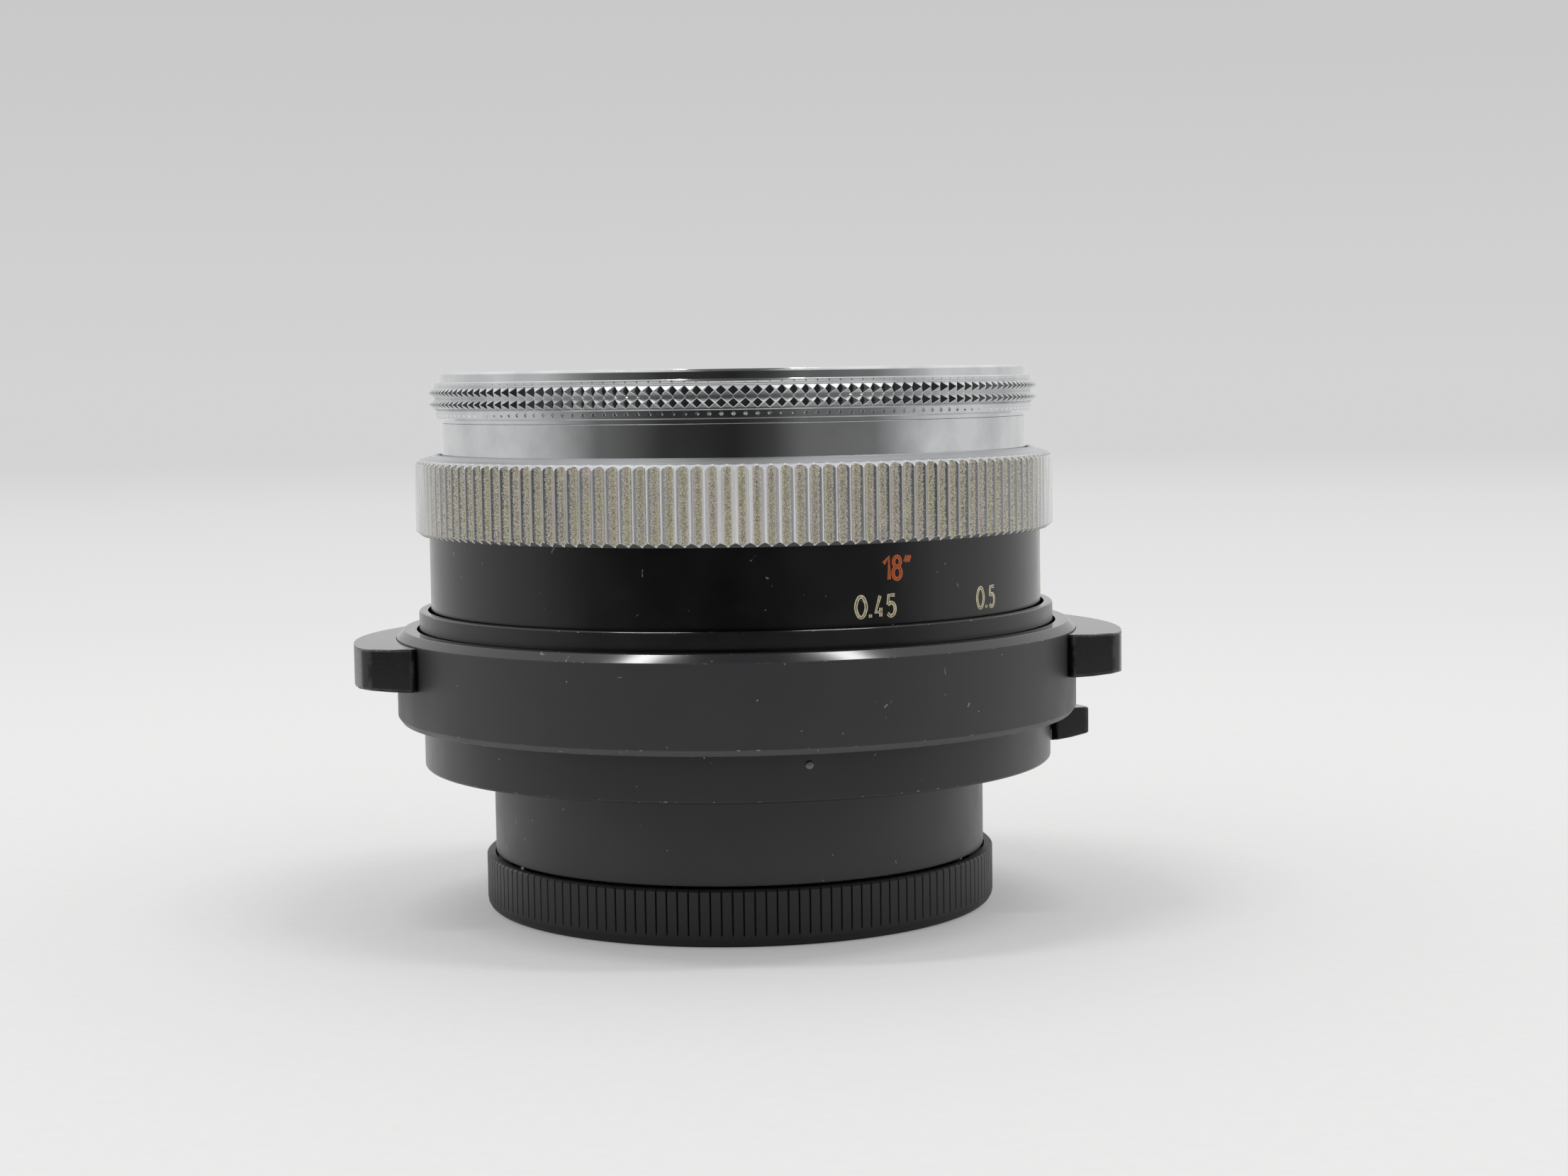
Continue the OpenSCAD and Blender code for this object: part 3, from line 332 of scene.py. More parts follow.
piece("barrel_screw_heads", screws, tool_steel, "barrel", "black_anodised", "barrel_screws")

# Stop-down lever: a black lacquered fin riveted to the tab of a steel ring that turns inside the
# lower ring. The fin is a small casting with softly rounded edges.
LEVER = {"root_r": 29.4, "reach": 3.6, "span": 17, "back_r": 22, "sweep": 5, "first": 0,
         "low": 14.1, "high": 17.2, "droop": 0.7}


def finger_fin(root_r, reach, span, back_r, sweep, first, low, high, droop):
    """A casting that sits on a circle: a slightly folded leading face, cut back at both ends, and a
    round back that runs down onto the circle. The underside rises outwards by the droop. Lengths are
    in millimetres, and span, sweep and first are angles."""
    fold, ease, back_steps, root_steps = 0.1, 0.3, 14, 20
    root_cut, root_clear, near_cut, far_cut, back_from = 0.26, 0.4, 0.13, 0.9, 0.025

    def away(r, angle):
        return Vector((r * math.cos(math.radians(angle)), r * math.sin(math.radians(angle))))

    root, foot, lead = away(root_r, first), away(root_r, first + span), away(reach, first + sweep)
    tip = root + lead
    chord = foot - tip
    centre = (tip + foot) / 2 - Vector((chord.y, -chord.x)).normalized() * math.sqrt(
        back_r ** 2 - chord.length_squared / 4)
    start, end = (math.degrees(math.atan2(p.y - centre.y, p.x - centre.x)) for p in (tip, foot))
    outline = [away(root_r, first + root_cut * reach), root + lead * near_cut,
               root + lead / 2 + Vector((lead.y, -lead.x)).normalized() * fold, root + lead * far_cut]
    outline += [centre + away(back_r, start + (end - start) * max(back_from, i / back_steps))
                for i in range(back_steps + 1)]
    outer = len(outline)
    outline += [away(root_r, first + span * i / root_steps) for i in range(root_steps - 1, 0, -1)
                if span * i / root_steps > root_clear * reach]
    widest = max(p.length for p in outline) - root_r
    bm = bmesh.new()
    wear = bm.verts.layers.float.new("wear")
    foot_rim, top_rim = [], []
    for p in outline:
        rise = droop * (p.length - root_r) / widest
        foot_rim.append(bm.verts.new((p.x * MM, p.y * MM, (low + rise) * MM)))
    for p in outline:
        top_rim.append(bm.verts.new((p.x * MM, p.y * MM, high * MM)))
    bm.faces.new(foot_rim)
    bm.faces.new(top_rim)
    for i in range(len(outline)):
        bm.faces.new((foot_rim[i - 1], foot_rim[i], top_rim[i], top_rim[i - 1]))
    corners = [bm.edges.get((foot_rim[i], top_rim[i])) for i in (1, 3, 4)]
    for rim in (foot_rim, top_rim):
        corners += [bm.edges.get(pair) for pair in zip(rim[:outer - 1], rim[1:outer])]
    made = bevelled(bm, corners, ease, "EDGES")
    for v in made["verts"]:
        v[wear] = all(f in made["faces"] for f in v.link_faces)
    return bm


def black_lacquer(name, tone, roughness):
    """Baked black lacquer on a casting: close to black, with a fine orange-peel surface, glossier on the
    flat tops that the room shines along, and paler where fingers have polished the edges."""
    peel_mm, rub_mm = 0.22, 1.4
    material, tree, shader, place = new_finish(name, {"IOR": 1.5})
    grain = add(tree, "TexNoise", {"Vector": place, "Scale": 1 / (peel_mm * MM), "Detail": 4})
    rub = add(tree, "MapRange", {
        "Value": add(tree, "TexNoise", {"Vector": place, "Scale": 1 / (rub_mm * MM), "Detail": 4}),
        "From Min": 0.45, "From Max": 0.65, "To Max": 0.5})
    edge = add(tree, "Math", {
        0: add(tree, "Attribute", {}, attribute_name="wear").outputs["Fac"], 1: rub},
        operation="MULTIPLY")
    rough = add(tree, "MapRange", {
        "Value": grain, "From Min": 0.3, "From Max": 0.7,
        "To Min": roughness - 0.06, "To Max": roughness + 0.06})
    upward = add(tree, "SeparateXYZ", {
        0: add(tree, "NewGeometry", {}).outputs["True Normal"]}).outputs["Z"]
    wire(shader, {
        "Base Color": add(tree, "Mix", {0: edge, 6: tone, 7: "#5a5a5c"},
                          data_type="RGBA").outputs[2],
        "Roughness": add(tree, "Mix", {
            0: add(tree, "Math", {0: upward, 1: 0.9}, operation="GREATER_THAN"),
            2: rough, 3: roughness / 3}),
        "Normal": add(tree, "Bump", {"Height": grain, "Strength": 0.16, "Distance": 0.02 * MM})})
    return material


lever_lacquer = black_lacquer("black lacquer on a casting, lever", "#101011", 0.34)
piece("lever_casting", finger_fin(**LEVER), lever_lacquer, "stop_down_lever", "black_lacquer",
      "lever_fin")
dress(tool_steel, "lever_rivet")
dress(inner_black, "lever_ring")

# Aperture ring: a wide ring of turned, black anodised aluminium with a bevelled upper edge. It clicks
# round on the barrel, and the fork screwed to its web drives the iris.
WIDE_R, WIDE_IN, WIDE_WEB = 31.38, 29.5, 26.8
WIDE_LOW, WIDE_TOP, WIDE_WEB_TOP, WIDE_BEVEL = 17.55, 25.95, 18.7, 0.7
WIDE_FOOT_IN, WIDE_FOOT_UP, WIDE_CORNER = 0.4, 0.55, 0.06
# Its downward chamfer carries a painted reflection of the floor.
wide_black = black_anodised("black anodised aluminium, wide ring", "#2a2a2c", 0.44, painted_floor_reflection="#454648")
wide = turned([
    (WIDE_WEB, WIDE_LOW), (WIDE_R - WIDE_FOOT_IN, WIDE_LOW),
    (WIDE_R, WIDE_LOW + WIDE_FOOT_UP, WIDE_CORNER), (WIDE_R, WIDE_TOP - WIDE_BEVEL, WIDE_CORNER),
    (WIDE_R - WIDE_BEVEL, WIDE_TOP, WIDE_CORNER), (WIDE_IN, WIDE_TOP), (WIDE_IN, WIDE_WEB_TOP),
    (WIDE_WEB, WIDE_WEB_TOP)])
piece("wide_ring", wide, wide_black, "aperture_ring", "black_anodised", "aperture_ring")
dress(tool_steel, "lug_screws", "aperture_arm", "arm_screws")

# Finger lugs: two black lacquered castings, one on each side of the aperture ring, each held from the
# inside by two screws. Their edges are rounded for the fingers.
LUG = {"root_r": 31.42, "reach": 4.98, "span": 50, "back_r": 26, "sweep": 33, "first": -24.4,
       "low": 21.25, "high": 25.15, "droop": 0.3}
LUG_TURN = 3.5
lug_lacquer = black_lacquer("black lacquer on a casting, lugs", "#0c0c0d", 0.3)
for side, mirror in (("left", -1), ("right", 1)):
    lug = finger_fin(**LUG)
    bmesh.ops.scale(lug, vec=(mirror, 1, 1), verts=lug.verts)
    bmesh.ops.rotate(lug, cent=(0, 0, 0), verts=lug.verts,
                     matrix=Matrix.Rotation(math.radians(LUG_TURN), 3, "Z"))
    piece("lug_casting_" + side, lug, lug_lacquer, "aperture_ring", "black_lacquer", "lug_" + side)

# Aperture numbers: engraved at the back of the aperture ring, filled with pale paint, and read against
# the index line on the collar. Each stop stands where the blades' swing, in degrees, gives its opening.
STOPS = {"2.8": 0.0, "4": 9.67, "5.6": 15.8, "8": 20.35, "11": 23.3, "16": 25.8}
BLADE_RATIO, OPEN_TURN, INDEX_ANGLE = 0.577733, 27.08, 90
STOP_Z, STOP_SIZE, STOP_STROKE, STOP_GAP = 21.0, 1.7, 0.3, 0.25
# Each sign is a list of strokes: whether it curves, whether it closes, and its points across and up,
# in shares of the sign's height.
GLYPHS = {
    "0": [(1, 1, [(0.21, 1), (0, 0.78), (0, 0.22), (0.21, 0), (0.42, 0.22), (0.42, 0.78)])],
    "1": [(0, 0, [(0, 0.72), (0.28, 1), (0.28, 0)])],
    "2": [(1, 0, [(0.01, 0.76), (0.21, 1), (0.41, 0.74), (0.27, 0.4), (0, 0)]),
          (0, 0, [(0, 0), (0.43, 0)])],
    "3": [(1, 0, [(0.02, 0.84), (0.2, 1), (0.39, 0.78), (0.17, 0.55)]),
          (1, 0, [(0.17, 0.55), (0.42, 0.28), (0.2, 0), (0, 0.16)])],
    "4": [(0, 0, [(0.25, 1), (0, 0.22), (0.37, 0.22)]), (0, 0, [(0.28, 0.42), (0.28, 0)])],
    "5": [(0, 0, [(0.4, 1), (0.06, 1), (0.03, 0.55)]),
          (1, 0, [(0.03, 0.55), (0.23, 0.64), (0.42, 0.33), (0.2, 0), (0, 0.13)])],
    "6": [(1, 0, [(0.36, 1), (0.08, 0.62), (0, 0.28), (0.21, 0), (0.42, 0.28), (0.22, 0.54),
                  (0.03, 0.38)])],
    "7": [(0, 0, [(0, 1), (0.42, 1), (0.14, 0)])],
    "8": [(1, 1, [(0.21, 1), (0.03, 0.78), (0.21, 0.55), (0.39, 0.78)]),
          (1, 1, [(0.21, 0.55), (0, 0.27), (0.21, 0), (0.42, 0.27)])],
    ".": [(0, 0, [(0, -0.02), (0, 0.13)])],
    "\"": [(0, 0, [(0.12, 1.03), (0, 0.75)]), (0, 0, [(0.27, 1.03), (0.15, 0.75)])],
    "~": [(1, 1, [(0, 0.5), (0.17, 0.7), (0.35, 0.5), (0.53, 0.3), (0.7, 0.5), (0.53, 0.7), (0.35, 0.5),
                  (0.17, 0.3)])],
    "|": [(0, 0, [(0, 0), (0, 1)])],
}
FIGURE_WIDTH = 0.42
OTHER_WIDTHS = {".": 0, "\"": 0.27, "~": 0.7, "|": 0, "1": 0.28, "4": 0.37}


def engraved(name, marks, radius, stroke, gap, material, body, slot):
    """Paint-filled strokes wrapped on a cylinder: marks are (text, angle, height above the floor, size).
    The attribute edge is 1 along the stroke's sides and 0 down its middle."""
    sink, swell = 0.006, 0.16
    lines = bpy.data.curves.new(name, "CURVE")
    lines.dimensions = "3D"
    lines.bevel_depth = stroke / 2
    lines.bevel_resolution = 2
    lines.resolution_u = 5
    lines.use_fill_caps = True
    for text, angle, z, size in marks:
        widths = [OTHER_WIDTHS.get(sign, FIGURE_WIDTH) for sign in text]
        x = math.radians(angle) * radius - size * (sum(widths) + gap * (len(text) - 1)) / 2
        for sign, width in zip(text, widths):
            for smooth, ring, points in GLYPHS[sign]:
                path = lines.splines.new("BEZIER")
                path.bezier_points.add(len(points) - 1)
                path.use_cyclic_u = bool(ring)
                for knot, (u, v) in zip(path.bezier_points, points):
                    knot.co = (x + u * size, z + (v - 0.5) * size, 0)
                    knot.handle_left_type = knot.handle_right_type = "AUTO" if smooth else "VECTOR"
            x += (width + gap) * size
    drawn = bpy.data.objects.new(name, lines)
    flat = bpy.data.meshes.new_from_object(drawn)
    bpy.data.objects.remove(drawn)
    bm = bmesh.new()
    bm.from_mesh(flat)
    edge = bm.verts.layers.float.new("edge")
    for v in bm.verts:
        x, z, rise = v.co
        v[edge] = 1 - max(0, 2 * rise / stroke)
        r = (radius - sink + rise * swell) * MM
        v.co = (r * math.cos(x / radius), r * math.sin(x / radius), z * MM)
    return piece(name, bm, material, body, slot)


def engraving_paint(name, rim, middle, roughness):
    """Enamel wiped into an engraved line: it stands up bright along both sides of the stroke and has
    sunk darker in the middle, a little patchy from the wiping."""
    patch_mm = 0.3
    material, tree, shader, place = new_finish(name, {"IOR": 1.5, "Roughness": roughness})
    patchy = add(tree, "TexNoise", {"Vector": place, "Scale": 1 / (patch_mm * MM), "Detail": 3})
    side = add(tree, "Attribute", {}, attribute_name="edge").outputs["Fac"]
    bright = add(tree, "MapRange", {
        "Value": add(tree, "MapRange", {
            "Value": side, "From Min": 0.1, "From Max": 0.3,
            "To Max": 0.95}),
        "To Min": add(tree, "MapRange", {
            "Value": patchy, "From Min": 0.4, "From Max": 0.7,
            "To Min": 0.05, "To Max": 0.5}), "To Max": 1})
    wire(shader, {"Base Color": add(
        tree, "Mix", {0: bright, 6: middle, 7: rim}, data_type="RGBA").outputs[2]})
    return material


pale_paint = engraving_paint("pale enamel in engraved lines", "#e8e4d4", "#8c8878", 0.45)
engraved("aperture_numbers",
         [(text, INDEX_ANGLE + OPEN_TURN - turn / BLADE_RATIO, STOP_Z, STOP_SIZE)
          for text, turn in STOPS.items()],
         WIDE_R, STOP_STROKE, STOP_GAP, pale_paint, "aperture_ring", "black_anodised")

# Collar: a thin black anodised rim that stands still between the aperture ring and the distance ring,
# held to the barrel by three screws. The index line for both scales is engraved at its back.
COLLAR_R, COLLAR_IN, COLLAR_WEB = 29.25, 28.45, 26.62
COLLAR_LOW, COLLAR_TOP, COLLAR_FLOOR = 18.85, 27.65, 19.95
COLLAR_CHAMFER, COLLAR_CORNER, COLLAR_EASE, INDEX_LENGTH = 0.12, 0.04, 0.05, 1.3
collar_black = black_anodised("black anodised aluminium, collar", "#080809", 0.24)
collar = turned([
    (COLLAR_WEB, COLLAR_LOW), (COLLAR_R, COLLAR_LOW),
    (COLLAR_R, COLLAR_TOP - COLLAR_CHAMFER, COLLAR_CORNER),
    (COLLAR_R - COLLAR_CHAMFER, COLLAR_TOP, COLLAR_CORNER), (COLLAR_IN, COLLAR_TOP, COLLAR_EASE),
    (COLLAR_IN, COLLAR_FLOOR), (COLLAR_WEB, COLLAR_FLOOR)])
piece("index_collar", collar, collar_black, "barrel", "black_anodised", "scale_collar")
engraved("index_line", [("|", INDEX_ANGLE, (WIDE_TOP + COLLAR_TOP) / 2, INDEX_LENGTH)],
         COLLAR_R, STOP_STROKE, STOP_GAP, pale_paint, "barrel", "black_anodised")

# Lens block: the black carrier that slides inside the helicoid with the glass cells and the iris. Its
# pieces are screwed together and keep their CAD shapes.
dress(inner_black, "lens_block", "rear_cell", "rear_retainer", "iris_cover", "front_cell",
      "lens_spacer", "front_retainer")
dress(bare_aluminium, "block_ring", "cell_ring")
dress(tool_steel, "front_screws", "drive_rod")

# Iris: a brass cam plate with six curved slots, and six thin blades of spring steel, blued black,
# that swing together when the plate turns.
cam_brass = turned_metal("brass, turned", "#b8954f", 0.3, 0.12, "#7d6232")
blued_steel = turned_metal("spring steel, blued black", "#34353a", 0.38, 0.05, "#241f1c")
dress(cam_brass, "iris_cam")
dress(blued_steel, *("iris_blade_%d" % n for n in range(1, 7)))

# Glass: a single element at the front, one in the middle and a cemented pair at the rear, ground and
# polished, each with a thin coating that tints its reflections.


def coated_glass(name, colour, index, film):
    """Polished optical glass with a single anti-reflection film: clear, with faint coloured
    reflections and a trace of haze."""
    haze_mm = 4.0
    material, tree, shader, place = new_finish(name, {
        "Base Color": colour, "IOR": index, "Transmission Weight": 1.0,
        "Thin Film Thickness": film, "Thin Film IOR": 1.38})
    haze = add(tree, "TexNoise", {"Vector": place, "Scale": 1 / (haze_mm * MM), "Detail": 5})
    wire(shader, {"Roughness": add(tree, "MapRange", {
        "Value": haze, "From Min": 0.45, "From Max": 0.8, "To Max": 0.05})})
    return material


dress(coated_glass("crown glass, coated amber", "#fbfaf5", 1.62, 520), "front_element")
dress(coated_glass("flint glass, coated blue", "#f6f8fb", 1.6, 430), "middle_element")
dress(coated_glass("crown glass, coated violet", "#f8f7fb", 1.58, 480),
      "rear_element_front", "rear_element_back")

# Distance ring: a thin black anodised ring that turns and climbs with the focus grip. It is the
# glossiest of the black rings, and slides down inside the collar.
SCALE_R, SCALE_IN, SCALE_LOW, SCALE_TOP = 28.15, 27.0, 21.64, 35.45
SCALE_LIP_R, SCALE_LIP_LOW = 25.62, 34.75
scale_black = black_anodised("black anodised aluminium, distance ring", "#0d0d0e", 0.16)
scale = turned([
    (SCALE_IN, SCALE_LOW), (SCALE_R, SCALE_LOW), (SCALE_R, SCALE_TOP, 0), (SCALE_LIP_R, SCALE_TOP, 0),
    (SCALE_LIP_R, SCALE_LIP_LOW, 0), (SCALE_IN, SCALE_LIP_LOW, 0)])
piece("distance_ring", scale, scale_black, "focus_ring", "black_anodised", "distance_scale")
dress(turned_metal("brass, helicoid", "#b8954f", 0.32, 0.12, "#7d6232"), "helicoid_ring")
dress(tool_steel, "focus_screws")

# Distances: engraved in the distance ring, metres filled with gold-coloured enamel and inches and feet
# with orange. Each stands where the lens has moved out far enough for it.
FOCAL, NEAR, CLIMB = 50.0, 450, 13.3
FRONT, NEAR_ANGLE, INCH_ANGLE = -90, 24.5, 28.6
METRES = {"0.45": 450, "0.5": 500, "0.6": 600, "0.7": 700, "0.8": 800, "1": 1000, "1.2": 1200,
          "1.5": 1500, "2": 2000, "3": 3000, "5": 5000, "10": 10000}
FEET = {"2": 610, "2.5": 762, "3": 914, "4": 1219, "5": 1524, "7": 2134, "10": 3048, "20": 6096}
METRE_Z, METRE_SIZE, METRE_STROKE, METRE_GAP = 29.24, 1.75, 0.31, 0.28
FOOT_Z, FOOT_SIZE, FOOT_STROKE, FOOT_GAP = 32.38, 1.88, 0.35, 0.21


def moved_out(distance):
    """How far the lens has moved out when it is sharp at a distance, all in millimetres."""
    half = distance / 2 - FOCAL
    return half - math.sqrt(half * half - FOCAL * FOCAL)


def scale_angle(out):
    """The angle on the ring, counted anticlockwise from +X, that a lens moved out so far reads."""
    return FRONT + NEAR_ANGLE + (moved_out(NEAR) - out) / CLIMB * 360


gold_paint = engraving_paint("gold enamel in engraved lines", "#fff3c9", "#40382a", 0.4)
orange_paint = engraving_paint("orange enamel in engraved lines", "#d8691f", "#8f330a", 0.4)
metres = [(text, scale_angle(moved_out(mm)), METRE_Z, METRE_SIZE) for text, mm in METRES.items()]
metres.append(("~", scale_angle(0), METRE_Z, METRE_SIZE))
engraved("metre_numbers", metres, SCALE_R, METRE_STROKE, METRE_GAP, gold_paint, "focus_ring",
         "black_anodised")
feet = [(text, scale_angle(moved_out(mm)), FOOT_Z, FOOT_SIZE) for text, mm in FEET.items()]
feet.append(("18\"", FRONT + INCH_ANGLE, FOOT_Z, FOOT_SIZE))
engraved("foot_numbers", feet, SCALE_R, FOOT_STROKE, FOOT_GAP, orange_paint, "focus_ring",
         "black_anodised")

# Focus grip: a ring of satin-chromed brass with straight V flutes all round and a sloping top. Three
# screws through its web hold it to the helicoid. Grime has settled in the flutes.
FLUTES, FLUTE_DEPTH, GLINT_BEVEL_WIDTH, CREST_SHINE = 152, 0.45, 0.08, 0.5
GRIP_R, GRIP_BORE, GRIP_SEAT, GRIP_FOOT_R, GRIP_WEB_R = 29.35, 27.2, 28.2, 28.25, 24.3
GRIP_LOW, GRIP_TOP, GRIP_WEB_LOW, GRIP_WEB_TOP, GRIP_EASE = 34.49, 41.85, 35.45, 36.95, 0.1
CREST_LOW, CREST_TOP, VALLEY_LOW, VALLEY_TOP, CROWN_R = 34.95, 41.0, 34.6, 41.34, 27.32
# Columns across one flute: the share of its pitch, of its depth and of the grime it holds.
FLUTE_COLUMNS = [(0, 0, 0), (0.06, 0.1, 0), (0.13, 0.25, 0.3), (0.25, 0.49, 0.6), (0.34, 0.67, 1),
                 (0.5, 1, 1), (0.66, 0.67, 1), (0.75, 0.49, 0.6), (0.87, 0.25, 0.3), (0.94, 0.1, 0),
                 (1, 0, 0)]


def spot(bm, share, count, r, z):
    """A vertex at a share of one pitch, a radius and a height."""
    angle = TURN * share / count
    return bm.verts.new((r * MM * math.cos(angle), r * MM * math.sin(angle), z * MM))


grip = bmesh.new()
grime = grip.verts.layers.float.new("grime")
# Painted highlight: a face attribute that paints the crests half way and the flute-end bevels fully near
# white.
burr = grip.faces.layers.float.new("burr")
top_row, foot_row = [], []
for share, depth, dirt in FLUTE_COLUMNS:
    r = GRIP_R - FLUTE_DEPTH * depth
    top_row.append(spot(grip, share, FLUTES, r, CREST_TOP + (VALLEY_TOP - CREST_TOP) * depth))
    foot_row.append(spot(grip, share, FLUTES, r, CREST_LOW + (VALLEY_LOW - CREST_LOW) * depth))
    top_row[-1][grime] = foot_row[-1][grime] = dirt
for i in range(len(FLUTE_COLUMNS) - 1):
    face = grip.faces.new((foot_row[i], foot_row[i + 1], top_row[i + 1], top_row[i]))
    # Painted highlight on the crest faces.
    if FLUTE_COLUMNS[i][2] == FLUTE_COLUMNS[i + 1][2] == 0:
        face[burr] = CREST_SHINE
valley_r = GRIP_R - FLUTE_DEPTH
wall = [(spot(grip, 0, FLUTES, r, z), spot(grip, 1, FLUTES, r, z)) for r, z in (
    (valley_r, VALLEY_TOP), (CROWN_R, GRIP_TOP), (GRIP_BORE, GRIP_TOP - GRIP_EASE),
    (GRIP_BORE, GRIP_WEB_TOP), (GRIP_WEB_R, GRIP_WEB_TOP), (GRIP_WEB_R, GRIP_WEB_LOW),
    (GRIP_SEAT, GRIP_WEB_LOW), (GRIP_SEAT, GRIP_LOW), (GRIP_FOOT_R, GRIP_LOW), (valley_r, VALLEY_LOW))]
half = len(FLUTE_COLUMNS) // 2
for row, near, far in ((top_row, wall[0], wall[1]), (foot_row, wall[-1], wall[-2])):
    grip.faces.new(row[:half + 1] + [near[0]])
    grip.faces.new(row[half:] + [near[1]])
    grip.faces.new((near[0], row[half], near[1], far[1], far[0]))
for (a, b), (c, d) in zip(wall[1:-2], wall[2:-1]):
    grip.faces.new((a, b, d, c))
zigzag = [grip.edges.get(pair) for row in (top_row, foot_row) for pair in zip(row, row[1:])]
# Painted highlight: the small bevels along the flute ends are painted near white.
for face in bevelled(grip, zigzag, GLINT_BEVEL_WIDTH, "EDGES", segments=1)["faces"]:
    face[burr] = 1
repeat_round(grip, FLUTES)

# The finish of the grip: chrome plate with a satin grain, drawn along the flutes and turned on the
# slopes, with painted shade where it faces down and on the up-facing slopes. Grime in two tints
# speckles the flutes. Painted highlights make the bevelled flute ends near white and the crests half
# so, and make the metal less mirror-like there.
DRAWN_MM, DRAWN_LONG_MM, LATHE_MM, LATHE_LONG_MM = 0.09, 9.0, 0.05, 25.0
GRIT_MM, TINT_MM, TINT_LONG_MM = 0.1, 1.4, 4.0
satin, tree, shader, place = new_finish("satin chrome on brass", {})
drawn, lathe, patch = (
    add(tree, "TexNoise", {
        "Vector": add(tree, "Mapping", {
            "Vector": place, "Scale": [1 / (size * MM) for size in (round_mm, round_mm, long_mm)]}),
        "Scale": 1, "Detail": 3})
    for round_mm, long_mm in (
        (DRAWN_MM, DRAWN_LONG_MM), (LATHE_LONG_MM, LATHE_MM), (TINT_MM, TINT_LONG_MM)))
upward = add(tree, "SeparateXYZ", {0: add(tree, "NewGeometry", {}).outputs["True Normal"]}).outputs["Z"]
crown = add(tree, "Math", {0: upward, 1: 0.4}, operation="GREATER_THAN")
under = add(tree, "Math", {0: upward, 1: -0.4}, operation="LESS_THAN")
sloping = add(tree, "Math", {0: crown, 1: under}, operation="ADD")
grain = add(tree, "Mix", {0: sloping, 2: drawn, 3: lathe})
grit = add(tree, "TexNoise", {"Vector": place, "Scale": 1 / (GRIT_MM * MM), "Detail": 5})
reach_of_dirt = add(tree, "Math", {
    0: grit, 1: 1.3, 2: add(tree, "Attribute", {}, attribute_name="grime").outputs["Fac"]},
    operation="MULTIPLY_ADD")
settled = add(tree, "MapRange", {
    "Value": add(tree, "Math", {0: reach_of_dirt, 1: sloping}, operation="SUBTRACT"),
    "From Min": 1.05, "From Max": 1.4, "To Max": 0.85})
tint = add(tree, "Mix", {
    0: add(tree, "MapRange", {"Value": patch, "From Min": 0.38, "From Max": 0.62}),
    6: "#f4e7da", 7: "#f0eac4"}, data_type="RGBA").outputs[2]
dirt = add(tree, "Mix", {
    0: add(tree, "MapRange", {"Value": grit, "From Min": 0.36, "From Max": 0.6}),
    6: "#5e5948", 7: tint}, data_type="RGBA").outputs[2]
plate = add(tree, "Mix", {
    0: add(tree, "MapRange", {"Value": grain, "From Min": 0.35, "From Max": 0.6}),
    6: "#d8d9da", 7: "#f8f8f8"}, data_type="RGBA").outputs[2]
# Painted shade: the plate is darkened where it faces down, and a little on the up-facing slopes.
plate = add(tree, "Mix", {
    0: under, 6: plate, 7: "#a9aaac"}, data_type="RGBA", blend_type="MULTIPLY").outputs[2]
plate = add(tree, "Mix", {
    0: crown, 6: plate, 7: "#d6d7d9"}, data_type="RGBA", blend_type="MULTIPLY").outputs[2]
# The painted highlights, read back from the face attribute.
glint_mask = add(tree, "Attribute", {}, attribute_name="burr").outputs["Fac"]
colour = add(tree, "Mix", {0: settled, 6: plate, 7: dirt}, data_type="RGBA").outputs[2]
wire(shader, {
    "Base Color": add(tree, "Mix", {0: glint_mask, 6: colour, 7: "#fbfbfb"}, data_type="RGBA").outputs[2],
    "Metallic": add(tree, "MapRange", {
        "Value": add(tree, "Math", {0: settled, 1: glint_mask}, operation="MAXIMUM"),
        "To Min": 1, "To Max": 0.1}),
    "Roughness": add(tree, "MapRange", {
        "Value": add(tree, "Math", {0: settled, 1: sloping}, operation="MAXIMUM"),
        "To Min": 0.22, "To Max": 0.5}),
    "Normal": add(tree, "Bump", {
        "Height": add(tree, "Mix", {0: settled, 2: grain, 3: grit}),
        "Strength": 0.5, "Distance": 0.015 * MM})})
piece("fluted_grip", grip, satin, "focus_ring", "satin_chrome", "focus_grip", crease=8)

# Front barrel: a chromed brass tube, polished, screwed to the lens block. Its plain band shows above
# the grip, and its inside has the thread that the filter ring goes into.
BAND_R, BAND_LOW, BAND_TOP, BAND_WEB_R, BAND_WEB_TOP = 26.9, 38.45, 44.7, 19.6, 39.65
BAND_BORE, BAND_THREAD_R, BAND_THREAD_LOW, BAND_THREAD_TOP = 26.05, 25.67, 42.0, 44.6
FILTER_R, FILTER_PITCH, FILTER_DEPTH = 25.6, 0.75, 0.4


